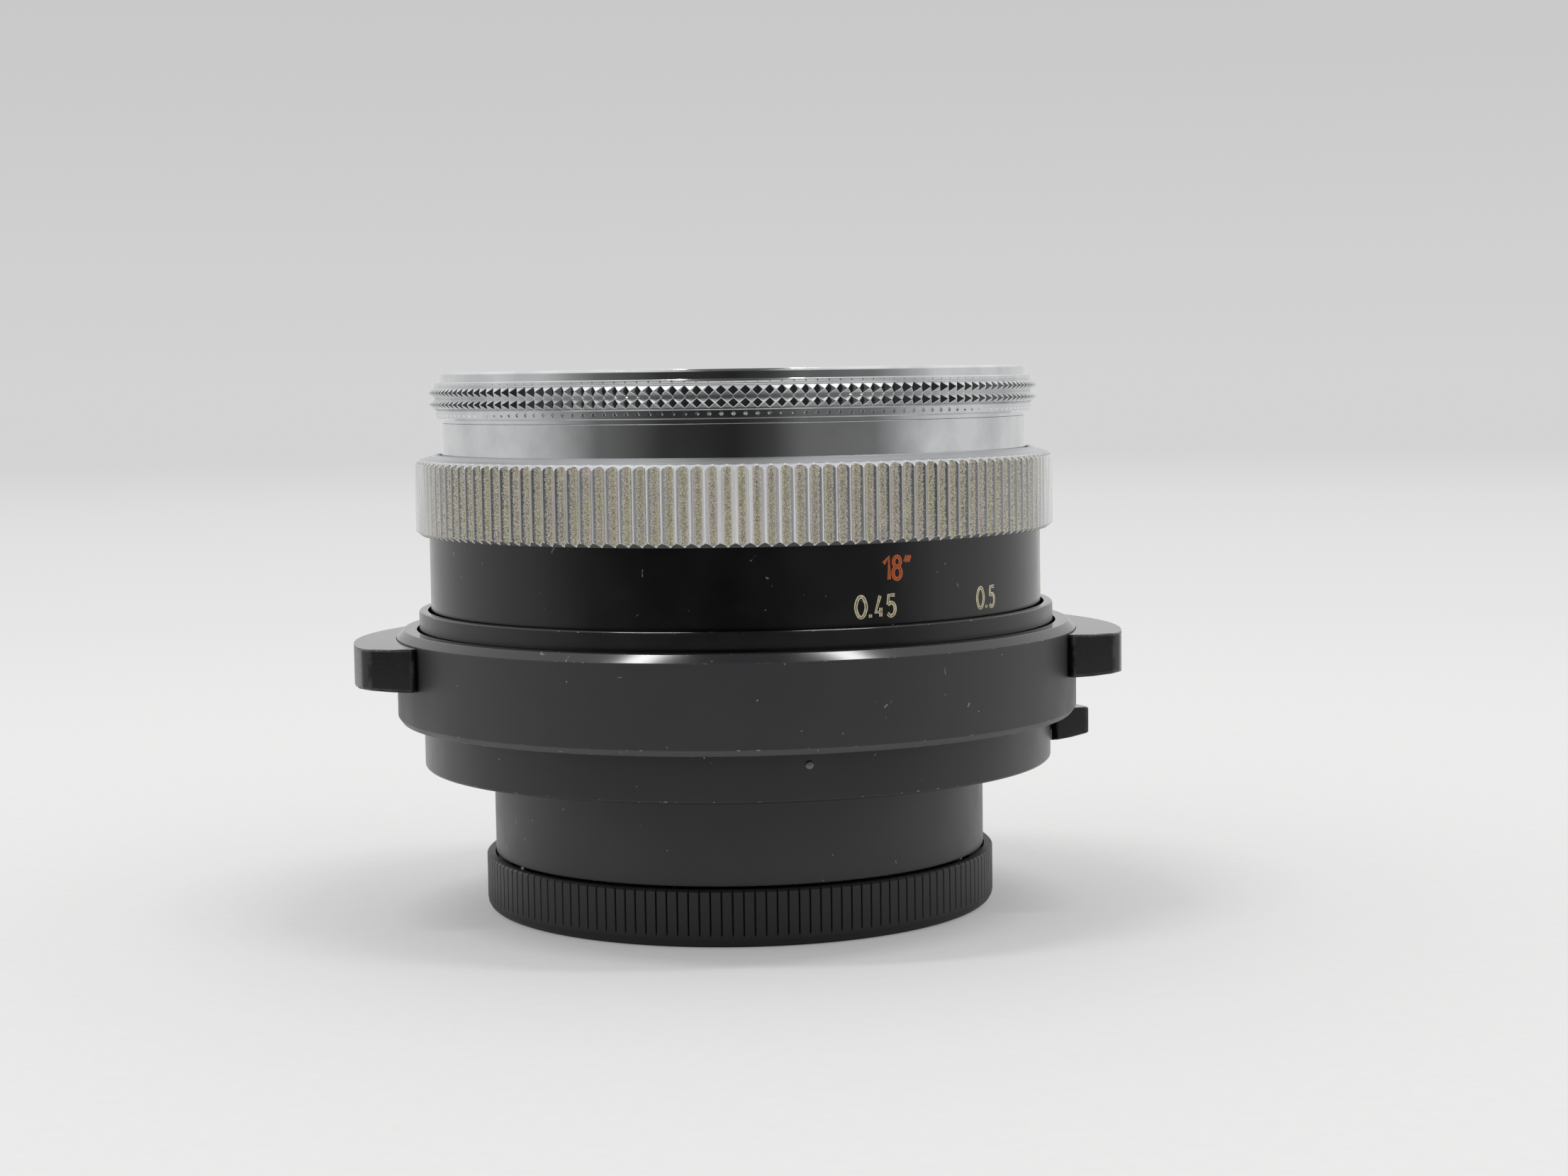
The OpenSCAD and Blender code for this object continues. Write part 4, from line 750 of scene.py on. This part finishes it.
def polished_chrome(name, roughness):
    """Polished chrome plate: a bright mirror, very slightly warm, with hair lines from the polishing and
    thin smudges that dull it in patches. Rolled facets that look up or down are less polished. The hair
    lines are drawn coarser than they are, so that they show."""
    hair_mm, sweep_mm, smudge_mm, rolled_roughness = 0.14, 100 / 3, 4.0, 0.32
    material, tree, shader, place = new_finish(name, {"Metallic": 1.0})
    around, along = 1 / (sweep_mm * MM), 1 / (hair_mm * MM)
    lines = add(tree, "TexNoise", {
        "Vector": add(tree, "Mapping", {"Vector": place, "Scale": (around, around, along)}),
        "Scale": 1, "Detail": 4})
    smudge = add(tree, "TexNoise", {"Vector": place, "Scale": 1 / (smudge_mm * MM), "Detail": 6})
    dull = add(tree, "MapRange", {"Value": smudge, "From Min": 0.42, "From Max": 0.75})
    upward = add(tree, "SeparateXYZ", {
        0: add(tree, "NewGeometry", {}).outputs["True Normal"]}).outputs["Z"]
    tilt = add(tree, "Math", {0: upward}, operation="ABSOLUTE")
    rolled = add(tree, "Math", {
        0: add(tree, "Attribute", {}, attribute_name="rolled").outputs["Fac"],
        1: add(tree, "Math", {0: tilt, 1: 0.5}, operation="GREATER_THAN")},
        operation="MULTIPLY")
    rough = add(tree, "MapRange", {"Value": dull, "To Min": roughness, "To Max": roughness + 0.07})
    wire(shader, {
        "Base Color": add(tree, "Mix", {0: dull, 6: "#d8d9da", 7: "#c3c4c6"},
                          data_type="RGBA").outputs[2],
        "Roughness": add(tree, "Mix", {0: rolled, 2: rough, 3: rolled_roughness}),
        "Normal": add(tree, "Bump", {"Height": lines, "Strength": 0.06, "Distance": 0.004 * MM})})
    return material


band_chrome = polished_chrome("polished chrome on brass, band", 0.06)
band = turned([
    (BAND_WEB_R, BAND_LOW), (BAND_R, BAND_LOW), (BAND_R, BAND_TOP), (BAND_BORE, BAND_TOP),
    (BAND_BORE, BAND_WEB_TOP, 0), (BAND_WEB_R, BAND_WEB_TOP)])
piece("bright_band", band, band_chrome, "lens_block", "polished_chrome", "front_barrel")
band_thread = bmesh.new()
wind_thread(band_thread, BAND_BORE + BITE, BAND_THREAD_R, BAND_THREAD_LOW, BAND_THREAD_TOP, FILTER_PITCH)
piece("band_thread", band_thread, band_chrome, "lens_block", "polished_chrome")

# Front baffle: a black anodised funnel between the front glass and the filter ring. Its inner part is
# cut in fine steps, which keep stray light off the glass, and its sloping face is plain.
BAFFLE_RIM_R, BAFFLE_RIM_Z, BAFFLE_RIM_W = 25.5, 41.75, 1.2
BAFFLE_SHELF_R, BAFFLE_SHELF_Z, BAFFLE_FOOT_R, BAFFLE_FOOT_Z = 18.6, 40.45, 14.0, 36.03
BAFFLE_WALL, BAFFLE_STEPS, BAFFLE_SKIRT_R = 0.8, 13, 19.5
step_r = (BAFFLE_SHELF_R - BAFFLE_FOOT_R) / BAFFLE_STEPS
step_z = (BAFFLE_SHELF_Z - BAFFLE_FOOT_Z - BAFFLE_WALL) / BAFFLE_STEPS
funnel = [(BAFFLE_FOOT_R, BAFFLE_FOOT_Z, 0), (BAFFLE_FOOT_R, BAFFLE_FOOT_Z + BAFFLE_WALL, 0)]
for i in range(BAFFLE_STEPS):
    r = BAFFLE_FOOT_R + step_r * (i + 1)
    for k in (0, 1):
        funnel.append((r, BAFFLE_FOOT_Z + BAFFLE_WALL + step_z * (i + k), 0))
funnel += [
    (BAFFLE_RIM_R - BAFFLE_RIM_W, BAFFLE_RIM_Z, 0.15), (BAFFLE_RIM_R, BAFFLE_RIM_Z, 0.1),
    (BAFFLE_RIM_R, BAND_WEB_TOP, 0), (BAFFLE_SKIRT_R, BAND_WEB_TOP, 0),
    (BAFFLE_SKIRT_R, BAND_WEB_TOP - BAFFLE_WALL, 0)]
baffle_black = black_anodised("black anodised aluminium, baffle", "#19191a", 0.5, lint=0.3)
piece("stepped_baffle", turned(funnel), baffle_black, "lens_block", "black_lacquer", "front_baffle")

# Filter ring: chromed brass, polished. Two rows of pyramids with a raised line between them are rolled
# into its rim, a notched ridge below and a notched bead above, and its lip is plain. It screws into the
# front barrel, and its bore takes a filter.
RING_LOW, RING_TOP, RING_LEDGE_R, RING_LEDGE_Z, RING_NECK_R = 42.35, 49.24, 24.4, 46.1, 26.8
LIP_R, LIP_LOW, LIP_CHAMFER, BORE_CHAMFER, LIP_EASE, BORE_EASE = 27.0, 48.37, 0.18, 0.15, 0.1, 0.05
THREAD_RUNOUT, THREAD_LEAD = 0.3, 0.2
KNURL_COLUMNS, KNURL_RISE, KNURL_EASE, KNURL_R, KNURL_LINE = 172, 0.5, 0.03, 27.45, 0.07
KNURL_ROWS = [(45.98, 46.82), (46.99, 47.88)]
RIDGE_LOW, RIDGE_Z, RIDGE_NOTCH, RIDGE_SINK = 45.0, 45.5, 0.22, 0.2
RIDGE = [(27.36, 45.06), (27.45, 45.15), (27.47, RIDGE_Z), (27.45, 45.8), (27.38, 45.88), (27.5, 45.93)]
BEAD_Z, BEAD_NOTCH, BEAD_SINK = 48.17, 0.1, 0.09
BEAD = [(27.47, 47.98), (27.57, 48.04), (27.59, BEAD_Z), (27.57, 48.3), (27.51, 48.36)]
ring_bore = FILTER_R + FILTER_DEPTH
ring_root = FILTER_R - FILTER_DEPTH
(row_1_low, row_1_top), (row_2_low, row_2_top) = KNURL_ROWS
rim = [(RING_NECK_R, BAND_TOP + BITE), (RING_NECK_R, RIDGE_LOW)] + RIDGE + [
    (KNURL_R, row_1_low), (KNURL_R, row_1_top), (KNURL_R + KNURL_LINE, (row_1_top + row_2_low) / 2),
    (KNURL_R, row_2_low), (KNURL_R, row_2_top)] + BEAD + [(LIP_R, LIP_LOW)]
ring = turned(
    [(RING_LEDGE_R, RING_LOW), (ring_root, RING_LOW), (ring_root, BAND_TOP, 0)]
    + [(r, z, 0) for r, z in rim]
    + [(LIP_R, RING_TOP - LIP_CHAMFER, LIP_EASE), (LIP_R - LIP_CHAMFER, RING_TOP, LIP_EASE),
       (ring_bore + BORE_CHAMFER, RING_TOP, BORE_EASE),
       (ring_bore, RING_TOP - BORE_CHAMFER, BORE_EASE), (ring_bore, RING_LEDGE_Z, 0),
       (RING_LEDGE_R, RING_LEDGE_Z)], steps=KNURL_COLUMNS)
bmesh.ops.recalc_face_normals(ring, faces=ring.faces)
for crest_z, width, sink in ((RIDGE_Z, RIDGE_NOTCH, RIDGE_SINK), (BEAD_Z, BEAD_NOTCH, BEAD_SINK)):
    crest = [v for v in ring.verts
             if abs(v.co.z - crest_z * MM) < 1e-7 and v.co.xy.length > LIP_R * MM]
    notches = bevelled(ring, crest, width, "VERTICES", segments=1)["faces"]
    bmesh.ops.poke(ring, faces=notches, offset=-sink * MM, center_mode="MEAN")
rolled = ring.faces.layers.float.new("rolled")
pyramids = []
for face in ring.faces:
    middle = face.calc_center_median()
    if middle.xy.length > LIP_R * MM and any(low < middle.z / MM < high for low, high in KNURL_ROWS):
        pyramids.append(face)
made = bmesh.ops.poke(ring, faces=pyramids, offset=KNURL_RISE * MM, center_mode="MEAN")
for face in made["faces"]:
    face[rolled] = 1
bevelled(ring, [e for v in made["verts"] for e in v.link_edges], KNURL_EASE, "EDGES", segments=1)
ring_chrome = polished_chrome("polished chrome on brass, filter ring", 0.06)
piece("knurled_ring", ring, ring_chrome, "filter_ring", "polished_chrome", "filter_ring", crease=8)
ring_threads = bmesh.new()
for root, crest, low, high in (
        (ring_bore + BITE, FILTER_R + BITE, RING_LEDGE_Z + THREAD_RUNOUT, RING_TOP - THREAD_LEAD),
        (ring_root - BITE, FILTER_R - BITE, RING_LOW, BAND_TOP - THREAD_LEAD)):
    wind_thread(ring_threads, root, crest, low, high, FILTER_PITCH)
piece("filter_threads", ring_threads, ring_chrome, "filter_ring", "polished_chrome")

# Rear cap: moulded black plastic with fine grooves all round and a rounded bottom edge. It screws onto
# the spigot, and the lens stands on it.
CAP_R, CAP_TOP, CAP_EDGE, CAP_BEVEL, CAP_FLOOR = 23.55, 5.03, 0.9, 0.16, 1.2
CAP_BORE, CAP_SOCKET_R, CAP_SOCKET_Z = 21.5, 22.8, 4.13
CAP_THREAD_R, CAP_THREAD_LOW, CAP_THREAD_TOP = 21.1, 1.5, 3.93
CAP_FOOT_R, CAP_RECESS_R, CAP_RECESS = 18.0, 17.8, 0.25
CAP_RIBS, CAP_GROOVE, CAP_GROOVE_FROM, CAP_GROOVE_LOW = 155, 0.17, 1.05, 1.2
CAP_COLUMNS = [(0, 0), (0.41, 0), (0.5, 1), (0.59, 0), (1, 0)]
cap = bmesh.new()
rows = []
for z, cut, inset in ((CAP_GROOVE_FROM, 0, 0), (CAP_GROOVE_LOW, 1, 0), (CAP_TOP - CAP_BEVEL, 1, 0),
                      (CAP_TOP, 0.75, CAP_BEVEL)):
    rows.append([spot(cap, share, CAP_RIBS, CAP_R - inset - CAP_GROOVE * deep * cut, z)
                 for share, deep in CAP_COLUMNS])
for low, high in zip(rows, rows[1:]):
    for i in range(len(CAP_COLUMNS) - 1):
        cap.faces.new((low[i], low[i + 1], high[i + 1], high[i]))
round_edge = [(CAP_R - CAP_EDGE * (1 - math.cos(a)), CAP_EDGE * (1 - math.sin(a)))
              for a in (math.radians(d) for d in (0, 20, 40, 60, 75, 90))]
foot = round_edge + [(CAP_FOOT_R, 0), (CAP_RECESS_R, CAP_RECESS), (0, CAP_RECESS)]
socket = [(CAP_SOCKET_R, CAP_TOP), (CAP_SOCKET_R, CAP_SOCKET_Z), (CAP_BORE, CAP_SOCKET_Z),
          (CAP_BORE, CAP_FLOOR), (0, CAP_FLOOR)]
for row, outline in ((rows[0], foot), (rows[-1], socket)):
    ladder = [(spot(cap, 0, CAP_RIBS, r, z), spot(cap, 1, CAP_RIBS, r, z)) for r, z in outline]
    cap.faces.new(row + [ladder[0][1], ladder[0][0]])
    for (a, b), (c, d) in zip(ladder, ladder[1:]):
        cap.faces.new((a, b, d, c))
repeat_round(cap, CAP_RIBS)

# The finish of the cap: moulded plastic, close to black, with a fine grain, broad clouds in its sheen
# where it flowed, and specks of dust.
GRAIN_MM, FLOW_MM, DUST_MM = 0.2, 7.0, 2.6
cap_plastic, tree, shader, place = new_finish("black plastic, moulded", {"IOR": 1.5})
grain = add(tree, "TexNoise", {"Vector": place, "Scale": 1 / (GRAIN_MM * MM), "Detail": 4})
flow = add(tree, "TexNoise", {"Vector": place, "Scale": 1 / (FLOW_MM * MM), "Detail": 4})
dust = add(tree, "MapRange", {
    "Value": add(tree, "TexVoronoi", {"Vector": place, "Scale": 1 / (DUST_MM * MM)}).outputs["Distance"],
    "From Min": 0.02, "From Max": 0.04, "To Min": 0.35, "To Max": 0})
tone = add(tree, "Mix", {0: flow, 6: "#151516", 7: "#1d1d1e"}, data_type="RGBA").outputs[2]
wire(shader, {
    "Base Color": add(tree, "Mix", {0: dust, 6: tone, 7: "#a8a6a0"}, data_type="RGBA").outputs[2],
    "Roughness": add(tree, "MapRange", {
        "Value": flow, "From Min": 0.3, "From Max": 0.7, "To Min": 0.38, "To Max": 0.5}),
    "Normal": add(tree, "Bump", {"Height": grain, "Strength": 0.12, "Distance": 0.02 * MM})})
piece("ribbed_cap", cap, cap_plastic, "rear_cap", "cap_plastic", "rear_cap")
cap_thread = bmesh.new()
wind_thread(cap_thread, CAP_BORE + BITE, CAP_THREAD_R, CAP_THREAD_LOW, CAP_THREAD_TOP, SPIGOT_PITCH)
piece("cap_thread", cap_thread, cap_plastic, "rear_cap", "cap_plastic")

# Floor: a wide sheet of pale paper that the lens stands on. Far from the lens it passes into the tone
# of the background, so that no horizon shows.
FLOOR_R, FADE_FROM, FADE_TO, FADE_SHARE, FAR = 4.0, 0.14, 0.5, 0.25, 1.6
NEAR_TONE, FAR_TONE, LIT_R, LIT_EDGE, FIBRE_MM = 0.79, 0.655, 0.17, 0.06, 1.5
sheet = bmesh.new()
bmesh.ops.create_circle(sheet, cap_ends=True, segments=96, radius=FLOOR_R)
mesh = bpy.data.meshes.new("floor")
sheet.to_mesh(mesh)
sheet.free()
floor = bpy.data.objects.new("floor", mesh)
bpy.context.scene.collection.objects.link(floor)
paper, tree, shader, place = new_finish("matt white paper", {"Roughness": 0.9, "IOR": 1.3})
fibre = add(tree, "TexNoise", {"Vector": place, "Scale": 1 / (FIBRE_MM * MM), "Detail": 5})
from_lens = add(tree, "VectorMath", {0: place}, operation="LENGTH").outputs["Value"]
wire(shader, {"Base Color": add(tree, "Mix", {
    0: fibre, 6: "#e4e4e4", 7: "#eaeae9"}, data_type="RGBA").outputs[2]})
glow = add(tree, "Emission", {"Color": (1, 1, 1, 1), "Strength": add(tree, "MapRange", {
    "Value": from_lens, "From Min": FADE_FROM, "From Max": FAR, "To Min": NEAR_TONE, "To Max": FAR_TONE},
    interpolation_type="SMOOTHSTEP")})
# Painted light: even next to the lens a quarter of the floor that the camera sees is glow, which lifts
# the lens's shadow.
fade = add(tree, "MapRange", {
    "Value": from_lens, "From Min": FADE_FROM, "From Max": FADE_TO, "To Min": FADE_SHARE},
    interpolation_type="SMOOTHSTEP")
beyond = add(tree, "MapRange", {"Value": from_lens, "From Min": LIT_R, "From Max": LIT_R + LIT_EDGE},
             interpolation_type="SMOOTHSTEP")
open_air = add(tree, "BsdfTransparent", {})
surface = add(tree, "MixShader", {
    0: add(tree, "LightPath", {}).outputs["Is Camera Ray"],
    1: add(tree, "MixShader", {0: beyond, 1: shader, 2: open_air}),
    2: add(tree, "MixShader", {0: fade, 1: shader, 2: glow})})
wire(tree.nodes["Material Output"], {"Surface": surface})
mesh.materials.append(paper)

# Light: a pale room that is dark behind the camera and straight above, and two soft long lamps
# overhead, a little to the left and to the right. To the camera the room is a plain pale background.
ROOM_TONES = [(-180, 0.75), (-100, 0.72), (-79, 0.62), (-53, 0.17), (-27, 0.045), (0, 0.025), (15, 0.06),
              (26, 0.16), (55, 0.2), (70, 0.5), (82, 0.75), (180, 0.75)]
CEILING_DARK, CEILING_PALE, DARK_TO, PALE_FROM = 0.15, 1.05, 0.12, 0.42
CEILING_FROM, CEILING_TO, BACKDROP_TO, BACKDROP_TONE = 0.12, 0.5, 0.16, 0.57
LAMPS = {"lamp left": (-0.259, -0.055, 1.1), "lamp right": (0.29, -0.03, 1.0)}
LAMP_Z, LAMP_WIDTH, LAMP_LENGTH, LAMP_AIM = 0.82, 0.05, 0.26, Vector((0, 0, 0.03))
world = bpy.data.worlds.new("studio")
bpy.context.scene.world = world
world.use_nodes = True
tree = world.node_tree
way = add(tree, "SeparateXYZ", {0: add(tree, "TexCoord", {}).outputs["Generated"]}).outputs
height = way["Z"]
from_behind = add(tree, "Math", {0: way["Y"], 1: -1}, operation="MULTIPLY")
turn = add(tree, "Math", {0: way["X"], 1: from_behind}, operation="ARCTAN2")
tones = add(tree, "ValToRGB", {0: add(tree, "MapRange", {
    "Value": turn, "From Min": -math.pi, "From Max": math.pi})})
stops = tones.color_ramp.elements
for i, (angle, tone) in enumerate(ROOM_TONES):
    stop = stops[i] if i in (0, 1) else stops.new(angle / 360 + 0.5)
    stop.position = angle / 360 + 0.5
    stop.color = (tone, tone, tone, 1)
back = add(tree, "Math", {0: way["Y"], 1: 0}, operation="MAXIMUM")
aside = add(tree, "VectorMath", {0: add(tree, "CombineXYZ", {0: way["X"], 1: back})},
            operation="LENGTH").outputs["Value"]
above = add(tree, "MapRange", {
    "Value": aside, "From Min": DARK_TO, "From Max": PALE_FROM,
    "To Min": CEILING_DARK, "To Max": CEILING_PALE}, interpolation_type="SMOOTHSTEP")
ceiling = add(tree, "MapRange", {"Value": height, "From Min": CEILING_FROM, "From Max": CEILING_TO},
              interpolation_type="SMOOTHSTEP")
room = add(tree, "Mix", {0: ceiling, 2: tones, 3: above})
backdrop = add(tree, "MapRange", {
    "Value": height, "From Min": 0, "From Max": BACKDROP_TO,
    "To Min": FAR_TONE, "To Max": BACKDROP_TONE})
seen = add(tree, "Mix", {0: add(tree, "LightPath", {}).outputs["Is Camera Ray"], 2: room, 3: backdrop})
wire(tree.nodes["Background"], {"Color": (1, 1, 1, 1), "Strength": seen})

for name, (x, y, power) in LAMPS.items():
    light = bpy.data.lights.new(name, "AREA")
    light.shape = "RECTANGLE"
    light.size, light.size_y = LAMP_WIDTH, LAMP_LENGTH
    light.energy = power
    lamp = bpy.data.objects.new(name, light)
    bpy.context.scene.collection.objects.link(lamp)
    lamp.location = (x, y, LAMP_Z)
    lamp.rotation_euler = (LAMP_AIM - lamp.location).to_track_quat("-Z", "Y").to_euler()

# Camera: a little above the middle of the lens and looking slightly down on it.
CAMERA_AT, CAMERA_LENS = (0, -0.2448, 0.0482), 60.59
PAN, TILT, ROLL = -1.041, 4.512, -0.812
camera = bpy.data.objects.new("camera", bpy.data.cameras.new("camera"))
bpy.context.scene.collection.objects.link(camera)
camera.data.sensor_width = 36
camera.data.lens = CAMERA_LENS
camera.data.clip_start = 0.01
camera.matrix_world = (
    Matrix.Translation(CAMERA_AT) @ Matrix.Rotation(math.radians(PAN), 4, "Z")
    @ Matrix.Rotation(math.radians(90 - TILT), 4, "X") @ Matrix.Rotation(math.radians(ROLL), 4, "Z"))
bpy.context.scene.camera = camera
bpy.context.scene.view_settings.view_transform = "Standard"
